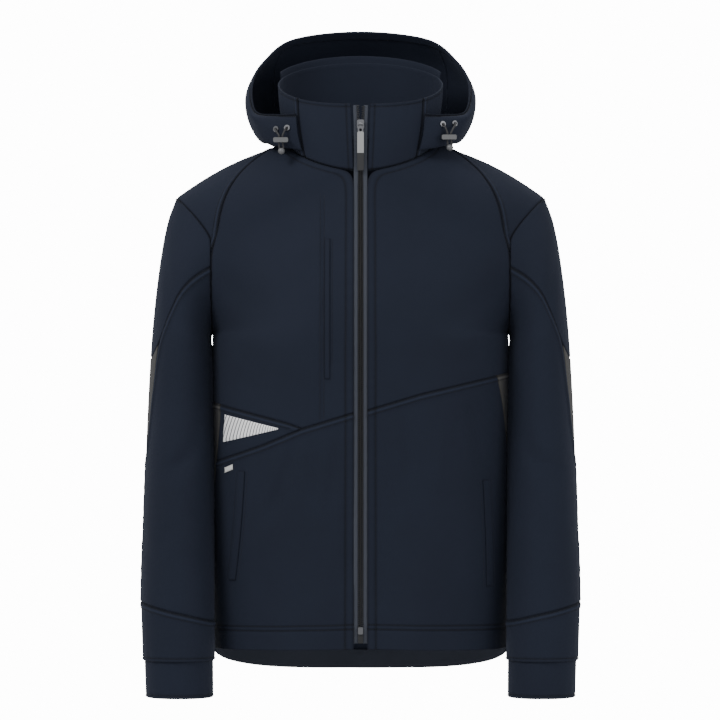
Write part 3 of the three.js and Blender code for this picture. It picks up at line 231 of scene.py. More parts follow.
CORDS = {word: hood_cord(word, side) for word, side in (("left", -1), ("right", 1))}
for word, (made, path, length) in CORDS.items():
    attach(made, "jacket")
    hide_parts(f"drawcord_{word}_1", f"drawcord_{word}_2")
    print("hood cord", word, "length", round(length, 1), "mm")

# %% [markdown]
# ## The form of the body
#
# A filled jacket has the form of the body in it. It is given by a table of level sections: half width, and
# how far the front and the back stand from the side line. Between the armpit and the neck the rows no longer
# close at the side but end on the armhole, so they open from a quarter turn to a flatter arc. The same
# numbers shape the solid part, so that the cloth made here lies on it. Only the body's side is up to one
# millimetre fuller here, and the inner line of the sleeves up to four, because in the photograph they touch.

# %%
WALL = 2.0
ZIP_HALF = 9.2
FRONT_HEM, SIDE_HEM, BACK_HEM = -669.0, -674.0, -715.0
CHEST, ARMPIT = -262.0, -250.0
NECK = {"half": 100, "front": -88, "side": -15, "back": 66, "front_z": -33, "side_z": 12, "back_z": 20}
ARMHOLE = {"top": -65, "inner": 201, "reach": 49, "reach_depth": 60, "front": 68, "back": 66}
SHOULDER_CROWN = 9.0
ROW_ARMPIT, ROW_NECK, BACK_NECK = 0.55, 0.8, 0.42
BODY_ROUNDNESS, OPEN_TURN = 0.87, 62.0
BODY_Z = (-725, -600, -450, -330, -240, -150, -80, -33, 20)
BODY_HALF = list(zip(BODY_Z, (203, 201.8, 201.6, 201.8, 201, 201, 201, 201, 201)))
BODY_FRONT = list(zip(BODY_Z, (137, 142, 148, 152, 150, 130, 106, 88, 70)))
BODY_BACK = list(zip(BODY_Z, (127, 122, 122, 132, 140, 136, 118, 96, 66)))


def neckline(angle):
    """Neck curve at an angle in degrees from the centre front (0) over the side (90) to the back (180): an
    ellipse in plan, rising from the pit of the neck to the shoulder and a little more to the nape."""
    turn = np.radians(angle)
    front = np.asarray(angle) <= 90
    start = np.where(front, ZIP_HALF, 0.0)
    rise = np.maximum(1 - np.cos(turn), 0) ** 0.8
    x = start + (NECK["half"] - start) * np.sin(turn)
    reach = np.where(front, NECK["front"] - NECK["side"], NECK["side"] - NECK["back"])
    y = NECK["side"] + reach * np.cos(turn)
    z = np.where(front, mix(NECK["front_z"], NECK["side_z"], rise),
                 mix(NECK["side_z"], NECK["back_z"], -np.cos(turn)))
    return np.stack([x, y, z], -1)


def neck_inward(angle):
    """Level direction from the neck curve to the axis of the neck."""
    turn = np.radians(angle)
    return np.stack([-np.sin(turn), np.cos(turn), np.zeros_like(turn)], -1)


def armhole(angle, face):
    """Armhole at an angle from the shoulder tip (0) to the armpit (180): an ellipse whose upper part leans
    out to the end of the shoulder."""
    turn = np.radians(angle)
    half = (ARMHOLE["top"] - ARMPIT) / 2
    z = ARMPIT + half + half * np.cos(turn)
    rise = np.clip(1 - (ARMHOLE["top"] - z) / ARMHOLE["reach_depth"], 0, 1) ** 1.3
    depth = np.where(np.asarray(face) < 0, ARMHOLE["front"], ARMHOLE["back"])
    return np.stack([ARMHOLE["inner"] + ARMHOLE["reach"] * rise, face * depth * np.sin(turn), z], -1)


def armhole_inward(angle, face):
    """Direction from the armhole's edge to its middle."""
    turn = np.radians(angle)
    return np.stack([np.zeros_like(turn), -face * np.sin(turn), -np.cos(turn)], -1)


def armhole_angle(t):
    """Angle on the armhole that a row of the torso ends at."""
    return 180 * (1 - (t - ROW_ARMPIT) / (1 - ROW_ARMPIT))


def centre_line(t, face):
    """Centre line of the front (face -1) or the back (1), from the hem up, and on along the neck."""
    front = face < 0
    hem, neck = (FRONT_HEM, NECK["front_z"]) if front else (BACK_HEM, NECK["back_z"])
    end = ROW_NECK if front else 1.0
    z = np.where(t < ROW_ARMPIT, mix(hem, CHEST, t / ROW_ARMPIT),
                 mix(CHEST, neck, np.clip((t - ROW_ARMPIT) / (end - ROW_ARMPIT), 0, 1)))
    depth = smooth_table(BODY_FRONT if front else BODY_BACK, z)
    line = np.stack([np.full_like(z, ZIP_HALF if front else 0.0), face * depth, z], -1)
    along_neck = neckline(90 * (np.maximum(t, ROW_NECK) - ROW_NECK) / (1 - ROW_NECK))
    return np.where((t > end)[..., None], along_neck, line)


def edge_line(t, face):
    """Side line from the hem to the armpit, and on round the armhole."""
    z = mix(SIDE_HEM, ARMPIT, np.minimum(t, ROW_ARMPIT) / ROW_ARMPIT)
    line = np.stack([smooth_table(BODY_HALF, z), np.zeros_like(z), z], -1)
    hole = armhole(armhole_angle(np.maximum(t, ROW_ARMPIT)), face)
    return np.where((t > ROW_ARMPIT)[..., None], hole, line)


def shoulder_line(share):
    """Line from the neck point (0) to the shoulder tip (1), slightly raised in the middle."""
    share = np.asarray(share, float)
    low, high = neckline(np.array(90.0)), armhole(np.array(0.0), -1)
    crown = SHOULDER_CROWN * np.sin(np.pi * share)
    return mix(low, high, share[..., None]) + crown[..., None] * np.array([0, 0, 1.0])


def back_top(s):
    """Top edge of the back: half of the neck curve, then the shoulder line."""
    neck = neckline(180 - 90 * np.minimum(s, BACK_NECK) / BACK_NECK)
    shoulder = shoulder_line(np.clip((s - BACK_NECK) / (1 - BACK_NECK), 0, 1))
    return np.where((s < BACK_NECK)[..., None], neck, shoulder)


def arc_shares(s, turn):
    """How far across and how far forward a row has come at a share s of its length: sine and cosine of the
    turn, raised to a power below 1 so that the body is a little squarer than an ellipse."""
    wide = np.sin(s * turn) ** BODY_ROUNDNESS / np.sin(turn) ** BODY_ROUNDNESS
    flat = np.maximum(np.cos(turn), 0) ** BODY_ROUNDNESS
    deep = (np.maximum(np.cos(s * turn), 0) ** BODY_ROUNDNESS - flat) / (1 - flat)
    return wide, deep


def torso_shape(s, t, face):
    """Torso surface of the right half: s from the centre line (0) to the side (1), t from the hem (0) to
    the shoulder (1). Each row is an arc between the centre line and the edge line."""
    s, t = np.broadcast_arrays(np.asarray(s, float), np.asarray(t, float))
    centre, edge = centre_line(t, face), edge_line(t, face)
    opened = np.clip((t - ROW_ARMPIT) / (1 - ROW_ARMPIT), 0, 1)
    wide, deep = arc_shares(s, np.radians(90 - OPEN_TURN * opened**0.6))
    drop = np.clip(1 - t / ROW_ARMPIT, 0, 1) if face > 0 else 0.0
    level = mix(wide, s**2.5, drop)
    crown = SHOULDER_CROWN * opened**6 * np.sin(np.pi * s) if face < 0 else 0.0
    raw = np.stack([mix(centre[..., 0], edge[..., 0], wide), mix(edge[..., 1], centre[..., 1], deep),
                    mix(centre[..., 2], edge[..., 2], level) + crown], -1)
    if face < 0:
        return raw
    top = np.ones_like(t)
    centre, edge = centre_line(top, face), edge_line(top, face)
    wide, deep = arc_shares(s, np.radians(90 - OPEN_TURN))
    end = np.stack([mix(centre[..., 0], edge[..., 0], wide), mix(edge[..., 1], centre[..., 1], deep),
                    mix(centre[..., 2], edge[..., 2], wide)], -1)
    return raw + (back_top(s) - end) * (opened**3)[..., None]


print("middle of the chest at", torso_shape(0.0, 0.6, -1).round(1))

# %% [markdown]
# ## Creases
#
# Folds in softshell are few, long and round. Each one is listed as a line from one point to another,
# with a depth (troughs above zero, ridges below) and a width. It is strongest at its first point and dies
# away at the other. Across the line the depth falls off as a bell curve. The wide ones are in the solid part
# too, though less deep; the finer ones are only here. Hidden sides have their own folds of the same kind.

# %%
POCKET_SEAM = (51, -52, 51, -364)  # ends of the seam beside the chest pocket, distance and height
# Columns: start x, start z, end x, end z, depth, width
CREASES = {
    "front_left": [
        (82, -384, 116, -480, 4.6, 9), (26, -372, 14, -560, 3.6, 9), (60, -420, 52, -640, -3.2, 22),
        (120, -235, 178, -185, 3.4, 15), (120, -500, 135, -660, 3.6, 20),
        (70, -386, 62, -455, 2.2, 7), (44, -356, 40, -300, 1.6, 10), (30, -376, 40, -470, 2.2, 7),
        (100, -420, 128, -520, -1.2, 13), (188, -250, 140, -292, 1.6, 12), (192, -300, 150, -318, 1.2, 9),
        (14, -600, 60, -640, 1.1, 12), (60, -90, 120, -140, 1.2, 16), (150, -560, 110, -610, 1.2, 12),
        (*POCKET_SEAM, 0.9, 1.6), (*POCKET_SEAM[2:], *POCKET_SEAM[:2], 0.9, 1.6),
    ],
    "front_right": [
        (20, -372, 26, -600, 3.6, 10), (148, -328, 158, -400, 4.0, 11), (88, -400, 74, -640, -3.4, 24),
        (112, -240, 176, -196, 3.6, 15),
        (58, -345, 64, -430, 2.2, 8), (16, -395, 36, -500, 2.2, 7), (112, -345, 104, -440, -1.8, 11),
        (190, -246, 146, -280, 1.7, 12), (176, -318, 150, -360, 1.2, 9), (36, -90, 84, -150, 1.1, 17),
        (120, -470, 132, -620, 1.6, 17), (20, -560, 52, -640, 1.1, 10), (60, -200, 50, -290, -1.0, 20),
    ],
    "back_left": [
        (70, -120, 95, -330, 3.0, 24), (110, -380, 96, -650, 3.6, 26), (30, -420, 22, -690, -2.8, 24),
        (186, -240, 120, -270, 1.8, 13), (190, -290, 140, -310, 1.3, 10), (40, -60, 60, -160, 1.2, 15),
        (60, -345, 66, -460, 1.5, 11), (150, -430, 140, -600, 1.4, 15),
    ],
    "back_right": [
        (82, -150, 100, -300, 2.6, 22), (120, -350, 104, -640, 3.2, 28), (48, -440, 60, -700, -2.6, 22),
        (188, -236, 116, -262, 1.8, 14), (186, -284, 146, -300, 1.2, 9), (30, -80, 44, -190, 1.1, 16),
        (74, -320, 82, -430, 1.4, 10), (160, -380, 152, -560, 1.5, 14),
    ],
}


def table_columns(table, count):
    """The columns of a table of numbers, each with count more axes, so that it can meet a grid of points."""
    return (column.reshape(-1, *(1,) * count) for column in np.array(table, float).T)


def crease_depth(table, x, z):
    """Sum over the creases of depth times a bell curve of the distance from the line; beyond an end of the
    line it dies away over one and a half widths."""
    x0, z0, x1, z1, depth, width = table_columns(table, np.ndim(x))
    length = np.hypot(x1 - x0, z1 - z0)
    along = ((x - x0) * (x1 - x0) + (z - z0) * (z1 - z0)) / length
    across = ((x - x0) * (z1 - z0) - (z - z0) * (x1 - x0)) / length
    beyond = np.maximum(np.maximum(-along, along - length), 0) / (width * 1.5)
    fade = np.clip(along / length + 0.15, 0.15, 1)
    return (depth * fade * np.exp(-((across / width) ** 2) - beyond**2)).sum(0)


def torso(s, t, face, side):
    """Points and inward directions of the torso at arrays s and t; side is -1 on the viewer's left, 1 on the
    right. The inward direction is square to the surface, and turns to the opening at open edges."""
    s, t, side = np.broadcast_arrays(np.asarray(s, float), np.asarray(t, float), side)
    step = 0.004
    across = torso_shape(np.minimum(s + step, 1), t, face) - torso_shape(np.maximum(s - step, 0), t, face)
    upward = torso_shape(s, np.minimum(t + step, 1), face) - torso_shape(s, np.maximum(t - step, 0), face)
    inward = unit(np.cross(across, upward)) * face
    point = torso_shape(s, t, face)
    word = "front" if face < 0 else "back"
    depth = np.where(side < 0, crease_depth(CREASES[word + "_left"], point[..., 0], point[..., 2]),
                     crease_depth(CREASES[word + "_right"], point[..., 0], point[..., 2]))
    calm = np.clip((1 - s) / 0.12, 0, 1) * np.clip((1 - t) / 0.1, 0, 1)
    point = point + inward * (depth * calm)[..., None]
    near = 1e-6

    def turned(where, direction):
        return np.where(where[..., None], direction, inward)

    inward = turned(t > 1 - near, np.array([0, 0, -1.0]))
    inward = turned((s > 1 - near) & (t < ROW_ARMPIT), np.array([-1.0, 0, 0]))
    inward = turned((s > 1 - near) & (t >= ROW_ARMPIT), armhole_inward(armhole_angle(t), face))
    if face < 0:
        angle = 90 * (t - ROW_NECK) / (1 - ROW_NECK)
        inward = turned((s < near) & (t > ROW_NECK), neck_inward(angle))
    else:
        inward = turned((t > 1 - near) & (s <= BACK_NECK), neck_inward(180 - 90 * s / BACK_NECK))
    mirror = np.stack([side, np.ones_like(s), np.ones_like(s)], -1)
    return point * mirror, inward * mirror


def row_at(z, s, face):
    """Row share at which the torso has a given height, below the armpit, found by halving thirty times."""
    z, s = np.broadcast_arrays(np.asarray(z, float), np.asarray(s, float))
    low, high = np.zeros_like(s), np.full_like(s, ROW_ARMPIT)
    for _ in range(30):
        middle = (low + high) / 2
        below = torso_shape(s, middle, face)[..., 2] < z
        low, high = np.where(below, middle, low), np.where(below, high, middle)
    return (low + high) / 2


print("creases on the front, left and right:", len(CREASES["front_left"]), len(CREASES["front_right"]))

# %% [markdown]
# ## From a surface to a wall of cloth
#
# A pattern piece ends in seams or in an open edge. Both are only millimetres wide, while the piece is
# decimetres wide, so the rows and columns of its grid are not evenly spaced: near an edge they lie at fixed
# distances in millimetres, and between the edges they are spread evenly. That also puts one row exactly
# under each row of stitches.
#
# What happens near an edge is given by its kind:
#
# - `band`: the edge is folded under the next piece, and the folded layers stand up as a band with two rows
#   of stitches.
# - `plain`: the other side of such a seam, which only dips into it.
# - `single`: a seam with one row of stitches.
# - `zip`: the folded front edge beside the zip, with one row of stitches.
# - `hem`: an open, rounded edge with two rows of stitches above the facing.
# - `open`: an open, rounded edge with one row of stitches.
# - `free`: an open, rounded edge without stitches.

# %%
# Distances of the grid lines from the edge, the stitched ones, and how far a band stands up, millimetres
EDGES = {
    "band": {"rise": 1.3, "rows": (1.8, 7.2),
             "lines": (0, 0.45, 1.0, 1.8, 2.6, 4.2, 6.2, 7.2, 8.2, 9.4, 11, 15)},
    "plain": {"rise": 0, "rows": (), "lines": (0, 0.45, 1.1, 2.2, 4.5, 9)},
    "single": {"rise": 0, "rows": (1.8,), "lines": (0, 0.45, 1.0, 1.8, 2.6, 4.5, 9)},
    "zip": {"rise": 0.35, "rows": (6.5,), "lines": (0, 0.3, 0.8, 1.8, 3.6, 5.6, 6.5, 7.4, 9, 12)},
    "hem": {"rise": 0.25, "rows": (27, 33),
            "lines": (0, 0.3, 0.8, 1.8, 5, 12, 19, 25, 27, 29, 31, 33, 35, 38)},
    "open": {"rise": 0.2, "rows": (4.2,), "lines": (0, 0.3, 0.8, 1.8, 3.2, 4.2, 5.2, 8)},
    "free": {"rise": 0, "rows": (), "lines": (0, 0.3, 0.8, 1.8, 4)},
}
OPEN_KINDS = ("zip", "hem", "open", "free")
SEAM_DIP, OPEN_DIP, ZIP_DIP = 1.3, 0.6, 0.5  # how far the cloth falls away at its edge
UNDERLAP = 1.2  # how far the inner face of a seam runs on under the next piece
STITCH_TROUGH = 0.75  # how deep a row of stitches pulls the cloth in
EASE_PASSES, EASE_EDGE, EASE_ROWS = 16, 13, 8
DARKEST, LIGHTEST = -0.85, 0.5  # bounds of the painted shade and painted highlight at seams
STITCH_LINES = []  # each: points (n x 3), outward directions (n x 3)
PIECES = {}
CUTS = {}  # flat width and length of each piece, metres, and its area, square metres


def inner_count(lengths, low, high, step):
    """Number of even steps between the fixed grid lines at both ends of the longest line."""
    return max(int(round((lengths.max() - EDGES[low]["lines"][-1] - EDGES[high]["lines"][-1]) / step)), 2)


def grid_lines(lengths, low, high, inner):
    """Shares from 0 to 1 along lines of the given lengths: fixed distances at both ends and even steps
    between them. The fixed ones shrink together where a line is too short for them. The lengths are one per
    line, or one per point where a line's length changes from point to point."""
    first, last = np.array(EDGES[low]["lines"], float), np.array(EDGES[high]["lines"], float)
    count = len(first) + inner - 1 + len(last)
    lengths = np.tile(lengths, (count, 1)) if lengths.ndim == 1 else lengths
    shrink = np.minimum(1, 0.96 * lengths / (first[-1] + last[-1])) / lengths
    start = first[:, None] * shrink[: len(first)]
    end = 1 - last[::-1, None] * shrink[-len(last):]
    middle = shrink[len(first): -len(last)]
    between = mix(first[-1] * middle, 1 - last[-1] * middle, np.arange(1, inner)[:, None] / inner)
    return np.concatenate([start, between, end])


def line_lengths(place, across):
    """Lengths, at twelve positions, of the lines that run across a piece or up it."""
    along, beside = np.linspace(0, 1, 60), np.linspace(0.002, 0.998, 12)
    a, b = np.meshgrid(along, beside) if across else np.meshgrid(beside, along, indexing="xy")
    points = place(a, b)[0]
    steps = np.linalg.norm(np.diff(points, axis=1 if across else 0), axis=-1)
    return beside, np.maximum(steps.sum(1 if across else 0), 0.6)


def edge_relief(distance, kind):
    """Outward offset near an edge: a dip at a seam, the rise of the folded layers, and a small trough along
    each row of stitches."""
    edge = EDGES[kind]
    dip = ZIP_DIP if kind == "zip" else OPEN_DIP if kind in OPEN_KINDS else SEAM_DIP
    width = 0.5 if kind in OPEN_KINDS else 1.2
    relief = -dip * np.exp(-((distance / width) ** 2))
    if edge["rise"]:
        reach = edge["rows"][-1] + 1.6
        relief = relief + edge["rise"] / (1 + np.exp(np.clip((distance - reach) / 0.45, -30, 30)))
    for row in edge["rows"]:
        relief = relief - STITCH_TROUGH * np.exp(-(((distance - row) / 0.9) ** 2))
    return relief


def edge_painted_light(distance, kind):
    """Painted light near an edge: painted shade in the seam and along each row of stitches, where the grooves
    would lie in shadow, and a painted highlight on the folded cloth between the rows of a raised band."""
    edge = EDGES[kind]
    # painted shade in the seam itself
    tone = -(0.3 if kind in OPEN_KINDS else 0.7) * np.exp(-((distance / 1.1) ** 2))
    # painted shade along each row of stitches
    for row in edge["rows"]:
        tone = tone - 0.55 * np.exp(-(((distance - row) / 0.85) ** 2))
    # painted highlight on the crest of a raised band
    if edge["rise"] > 0.5:
        middle = sum(edge["rows"]) / 2
        tone = tone + 0.4 * np.exp(-(((distance - middle) / 1.8) ** 2))
    return tone


def pucker(along, distance, kind):
    """Short ripples square to a stitched seam, uneven in spacing, that die away over a centimetre or two."""
    if not EDGES[kind]["rows"]:
        return 0.0
    wave = np.sin(along / 2.3 + 1.7 * np.sin(along / 17)) + 0.8 * np.sin(along / 3.9 + 2 * np.sin(along / 29))
    return 0.2 * wave * np.exp(-distance / 12)


def panel(name, place, bottom, top, left, right, step=4.0, out=0.0, thick=WALL, ring=False, follow=True):
    """A closed wall of cloth over place(a, b), which gives points and inward directions. The outer face lies
    `out` above the surface plus the relief of the edges, and the inner face `thick` below it."""
    beside, widths = line_lengths(place, True)
    rows_at, heights = line_lengths(place, False)
    rows = inner_count(heights, bottom, top, step)
    level = grid_lines(heights.mean(keepdims=True), bottom, top, rows)[:, 0]
    width = np.interp(level, beside, widths)
    if ring:
        columns = max(int(round(widths.max() / step)), 24)
        a = np.tile(np.arange(columns) / columns, (len(level), 1))
    else:
        a = grid_lines(width, left, right, inner_count(widths, left, right, step)).T
    height = np.interp(a, rows_at, heights)
    b = grid_lines(height, bottom, top, rows)
    point, inward = place(a, b)
    point = eased(point)
    across = a * width[:, None]
    up = b * height
    relief, tone = np.zeros_like(a), np.zeros_like(a)
    edges = [(up, bottom, across), (height - up, top, across)]
    if not ring:
        edges += [(across, left, up), (width[:, None] - across, right, up)]
    for distance, kind, along in edges:
        relief = relief + edge_relief(distance, kind) + pucker(along, distance, kind)
        # painted shade in seams and stitch rows, painted highlight on raised bands
        tone = tone + edge_painted_light(distance, kind)
    outer = point - inward * (out + relief)[..., None]
    inner_relief = np.zeros_like(a)
    for distance, kind, _ in edges:
        if kind in OPEN_KINDS:
            inner_relief = inner_relief + 0.6 * np.exp(-((distance / 0.5) ** 2))
    follows = np.clip(relief, -0.2, 0.5) * (0.5 if follow else 0)
    inner = point + inward * (thick - out - inner_relief - follows)[..., None]
    for axis, at, beyond, kind in ((0, 0, 1, bottom), (0, -1, -2, top), (1, 0, 1, left), (1, -1, -2, right)):
        if kind in OPEN_KINDS or (axis == 1 and ring):
            continue
        edge, next_to = np.take(inner, at, axis), np.take(inner, beyond, axis)
        moved = edge + unit(edge - next_to) * UNDERLAP
        if axis == 0:
            inner[at] = moved
        else:
            inner[:, at] = moved
    collect_stitches(outer, inward, [(bottom, 0, False), (top, 0, True)]
                     + ([] if ring else [(left, 1, False), (right, 1, True)]), ring)
    PIECES[name] = closed_wall(name + "_cloth", outer, inner, np.stack([across, up], -1) * MM, tone, ring)
    CUTS[name] = (widths.max() * MM, heights.max() * MM, cell_area(point, ring) * MM**2)
    return PIECES[name]


def eased(point):
    """The grid of points with kinks between its rows eased: each pass moves a point a quarter of the way to
    each neighbour above and below. The rows next to the edges stay, and the effect grows over eight rows."""
    rows = np.arange(len(point))
    from_edge = np.minimum(rows, len(point) - 1 - rows)
    share = np.clip((from_edge - EASE_EDGE) / EASE_ROWS, 0, 1)[1:-1, None, None]
    for _ in range(EASE_PASSES):
        change = (point[:-2] + point[2:]) / 4 - point[1:-1] / 2
        point = np.concatenate([point[:1], point[1:-1] + change * share, point[-1:]])
    return point


def cell_area(points, ring):
    """Area of a grid of points: half the length of the cross product of each cell's diagonals, summed."""
    points = np.concatenate([points, points[:, :1]], 1) if ring else points
    one, other = points[1:, 1:] - points[:-1, :-1], points[1:, :-1] - points[:-1, 1:]
    return float(np.linalg.norm(np.cross(one, other), axis=-1).sum() / 2)


def collect_stitches(outer, inward, edges, ring):
    """Keeps the grid lines of a piece that carry a row of stitches."""
    for kind, axis, from_end in edges:
        for row in EDGES[kind]["rows"]:
            index = EDGES[kind]["lines"].index(row)
            index = -1 - index if from_end else index
            line = np.take(outer, index, axis)
            away = -np.take(inward, index, axis)
            if ring:
                line, away = np.concatenate([line, line[:1]]), np.concatenate([away, away[:1]])
            STITCH_LINES.append((line, away))


def closed_wall(name, outer, inner, uv, tone, ring):
    """Joins an outer and an inner grid along their borders into one closed mesh, faces outwards. The tone,
    painted shade and painted highlight along the seams, is that of the outer grid; the inner one is plain."""
    rows, columns = outer.shape[:2]
    half = rows * columns
    index = np.arange(half).reshape(rows, columns)
    borders = [index[0], index[-1][::-1]]
    if not ring:
        borders += [index[::-1, 0], index[:, -1]]
    walls = []
    for line in borders:
        after = np.roll(line, -1) if ring else line[1:]
        here = line if ring else line[:-1]
        walls.append(np.stack([here, here + half, after + half, after], -1))
    faces = np.concatenate([grid_faces(rows, columns, ring=ring),
                            grid_faces(rows, columns, start=half, ring=ring, flip=True), *walls])
    points = np.concatenate([outer.reshape(-1, 3), inner.reshape(-1, 3)])
    if volume(points, faces) < 0:
        faces = faces[:, ::-1]
    uv = np.concatenate([uv.reshape(-1, 2)] * 2)
    # painted shade and painted highlight of the outer face, bounded; none on the inner face
    tone = np.clip(np.concatenate([np.ravel(tone), np.zeros(half)]), DARKEST, LIGHTEST)
    return make_mesh(name, points, faces, uv, tone=tone)


print("edge kinds:", ", ".join(EDGES))

# %% [markdown]
# ## Pieces of the body
#
# The front of this jacket is cut across by a slanted seam. On the viewer's left it forks, with a wedge
# between its branches; on the right it rises to the side. Below it a dark grey side panel fills the side and
# runs to a point. Above it the piece goes up to the collar and the armhole, and a raglan-cut yoke runs over
# the shoulder from the front to the back without a shoulder seam.

# %%
# Cross seams by distance from the centre line and height
SEAM_LEFT_UPPER = ((0, -353), (78, -377), (96, -370), (200, -343))
SEAM_LEFT_LOWER = ((0, -353), (78, -377), (127, -398), (200, -424))
SEAM_RIGHT = ((0, -355), (80, -331), (200, -303))
SEAM_BACK = {"left": -343, "middle": -326, "right": -303}
SIDE_PANEL = {
    -1: {"start": 0.742, "top": -343, "tip": -540, "bend": 1.5},
    1: {"start": 0.691, "top": -303, "tip": -500, "bend": 0.85},
}
JUNCTION = 3 / 11  # share of the way to the side panel at which the two left seams part
YOKE_END, YOKE_BEND = 0.03, 1.4
YOKE_TIP = 0.03  # share of the rows that is left out at the yoke's two points
RISE = 0.27  # share of an upper piece's rows that lie below the armpit


def seam_height(table, s):
    """Height of a cross seam at a share of the way round, from its table of straight runs."""
    x = torso_shape(s, np.full_like(s, ROW_ARMPIT / 2), -1)[..., 0]
    keys, values = np.array(table, float).T
    return np.interp(x, keys, values)


def back_seam(s, side):
    """The seam across the back: straight from the middle to each side."""
    return mix(SEAM_BACK["middle"], np.where(side < 0, SEAM_BACK["left"], SEAM_BACK["right"]), s)


def panel_edge(z, side):
    """Share of the way round at which the side panel starts, at a height."""
    def one(which):
        entry = SIDE_PANEL[which]
        down = np.clip((entry["top"] - z) / (entry["top"] - entry["tip"]), 0, 1)
        return mix(entry["start"], 1, down ** entry["bend"])
    return np.where(np.asarray(side) < 0, one(-1), one(1))


def yoke_edge(t, face):
    """Share of the way round at which the yoke starts, on a row above the armpit."""
    end = YOKE_END if face < 0 else mix(BACK_NECK, 1, YOKE_END)
    return 1 - (1 - end) * np.clip((t - ROW_NECK) / (1 - ROW_NECK), 0, 1) ** YOKE_BEND


def front_seam(side, upper):
    """The cross seam of one front as a function of the share of the way round."""
    table = (SEAM_LEFT_UPPER if upper else SEAM_LEFT_LOWER) if side < 0 else SEAM_RIGHT
    return lambda s: seam_height(table, s)


def upper_place(a, b, face, side, seam):
    """From the cross seam up to the armpit row, and on to the yoke and the shoulder."""
    below = b < RISE
    t = np.where(below, ROW_ARMPIT, mix(ROW_ARMPIT, 1, np.maximum(b - RISE, 0) / (1 - RISE)))
    s = np.where(below, a, a * yoke_edge(t, face))
    low = row_at(seam(s), s, face)
    t = np.where(below, mix(low, ROW_ARMPIT, np.minimum(b / RISE, 1)), t)
    return torso(s, t, face, side)


def lower_place(a, b, face, side, top, bottom=None, first=0.0):
    """Between two seams, or from the hem up to a seam, as far round as the side panel's edge."""
    end = np.ones_like(a)
    low_side = bottom(end) if bottom else SIDE_HEM
    s = panel_edge(mix(low_side, top(end), b), side) * mix(first, 1, a)
    low = row_at(bottom(s), s, face) if bottom else 0.0
    return torso(s, mix(low, row_at(top(s), s, face), b), face, side)


def side_place(a, b, side):
    """The side panel: its front edge is the side edge of the front's lower piece, its back edge that of the
    back, and its upper edge the cross seam."""
    entry = SIDE_PANEL[side]
    front = a < 0.5
    round_share = np.where(front, 2 * a, 2 - 2 * a)

    def one(face, top):
        shares = np.linspace(0, 1, 400)
        end = np.ones_like(shares)
        edge_s = panel_edge(mix(SIDE_HEM, top(end), shares), side)
        edge_z = torso_shape(edge_s, shares * row_at(top(edge_s), edge_s, face), face)[..., 2]
        s = np.interp(entry["tip"], edge_z, edge_s) * np.ones_like(b)
        for _ in range(4):
            s = np.interp(mix(entry["tip"], top(s), b), edge_z, edge_s)
        s = mix(s, 1, round_share)
        return torso(s, row_at(mix(entry["tip"], top(s), b), s, face), face, side)

    fore, aft = one(-1, front_seam(side, True)), one(1, lambda s: back_seam(s, side))
    return tuple(np.where(front[..., None], x, y) for x, y in zip(fore, aft))


def yoke_place(a, b, side):
    """The shoulder yoke, from its point on the front armhole over the shoulder to that on the back."""
    front = b < 0.5
    t = mix(ROW_NECK, 1, mix(YOKE_TIP, 1, np.where(front, 2 * b, 2 - 2 * b)))
    fore = torso(mix(yoke_edge(t, -1), 1, a), t, -1, side)
    aft = torso(mix(yoke_edge(t, 1), 1, a), t, 1, side)
    return tuple(np.where(front[..., None], x, y) for x, y in zip(fore, aft))


def both_sides(a):
    """Share from the centre line and side, for a piece that spans the whole back."""
    whole = 2 * a - 1
    return np.abs(whole), np.where(whole < 0, -1, 1)


for side, word in ((-1, "left"), (1, "right")):
    upper, lower = front_seam(side, True), front_seam(side, False)
    panel(f"front_upper_{word}", lambda a, b: upper_place(a, b, -1, side, upper),
          "plain", "plain", "zip", "single")
    panel(f"front_lower_{word}", lambda a, b: lower_place(a, b, -1, side, lower),
          "hem", "band", "zip", "plain")
    panel(f"side_panel_{word}", lambda a, b: side_place(a, b, side), "free", "band", "plain", "plain")
    panel(f"shoulder_yoke_{word}", lambda a, b: yoke_place(a, b, side), "plain", "plain", "band", "plain")


def wedge_place(a, b):
    """The wedge between the two branches of the left cross seam."""
    return lower_place(a, b, -1, -1, front_seam(-1, True), front_seam(-1, False), JUNCTION)


def back_upper_place(a, b):
    """The back from its cross seam to the neck and the shoulders, both sides at once."""
    s, side = both_sides(a)
    return upper_place(s, b, 1, side, lambda share: back_seam(share, side))


def back_lower_place(a, b):
    """The back from the hem to its cross seam, both sides at once."""
    s, side = both_sides(a)
    return lower_place(s, b, 1, side, lambda share: back_seam(share, side))


panel("front_wedge_left", wedge_place, "plain", "band", "plain", "plain")
panel("back_upper", back_upper_place, "plain", "plain", "single", "single", step=4.8)
panel("back_lower", back_lower_place, "hem", "band", "plain", "plain", step=4.8)
print("body pieces:", {name: len(piece.data.polygons) for name, piece in PIECES.items()})

# %% [markdown]
# ## Sleeves
#
# A sleeve hangs down and a little forward. Its table gives, at shares of its length, the outer and the inner
# line, half the depth, and how far its middle hangs forward. Its top ring is the armhole itself. A cap piece
# with a point covers the shoulder, a dark elbow panel lies below the point, and the rest is one piece closed
# on the outer line. The folds at the elbow are short troughs that run part of the way round. The solid
# sleeve has the same lines, but its inner one stands a few millimetres further from the body.

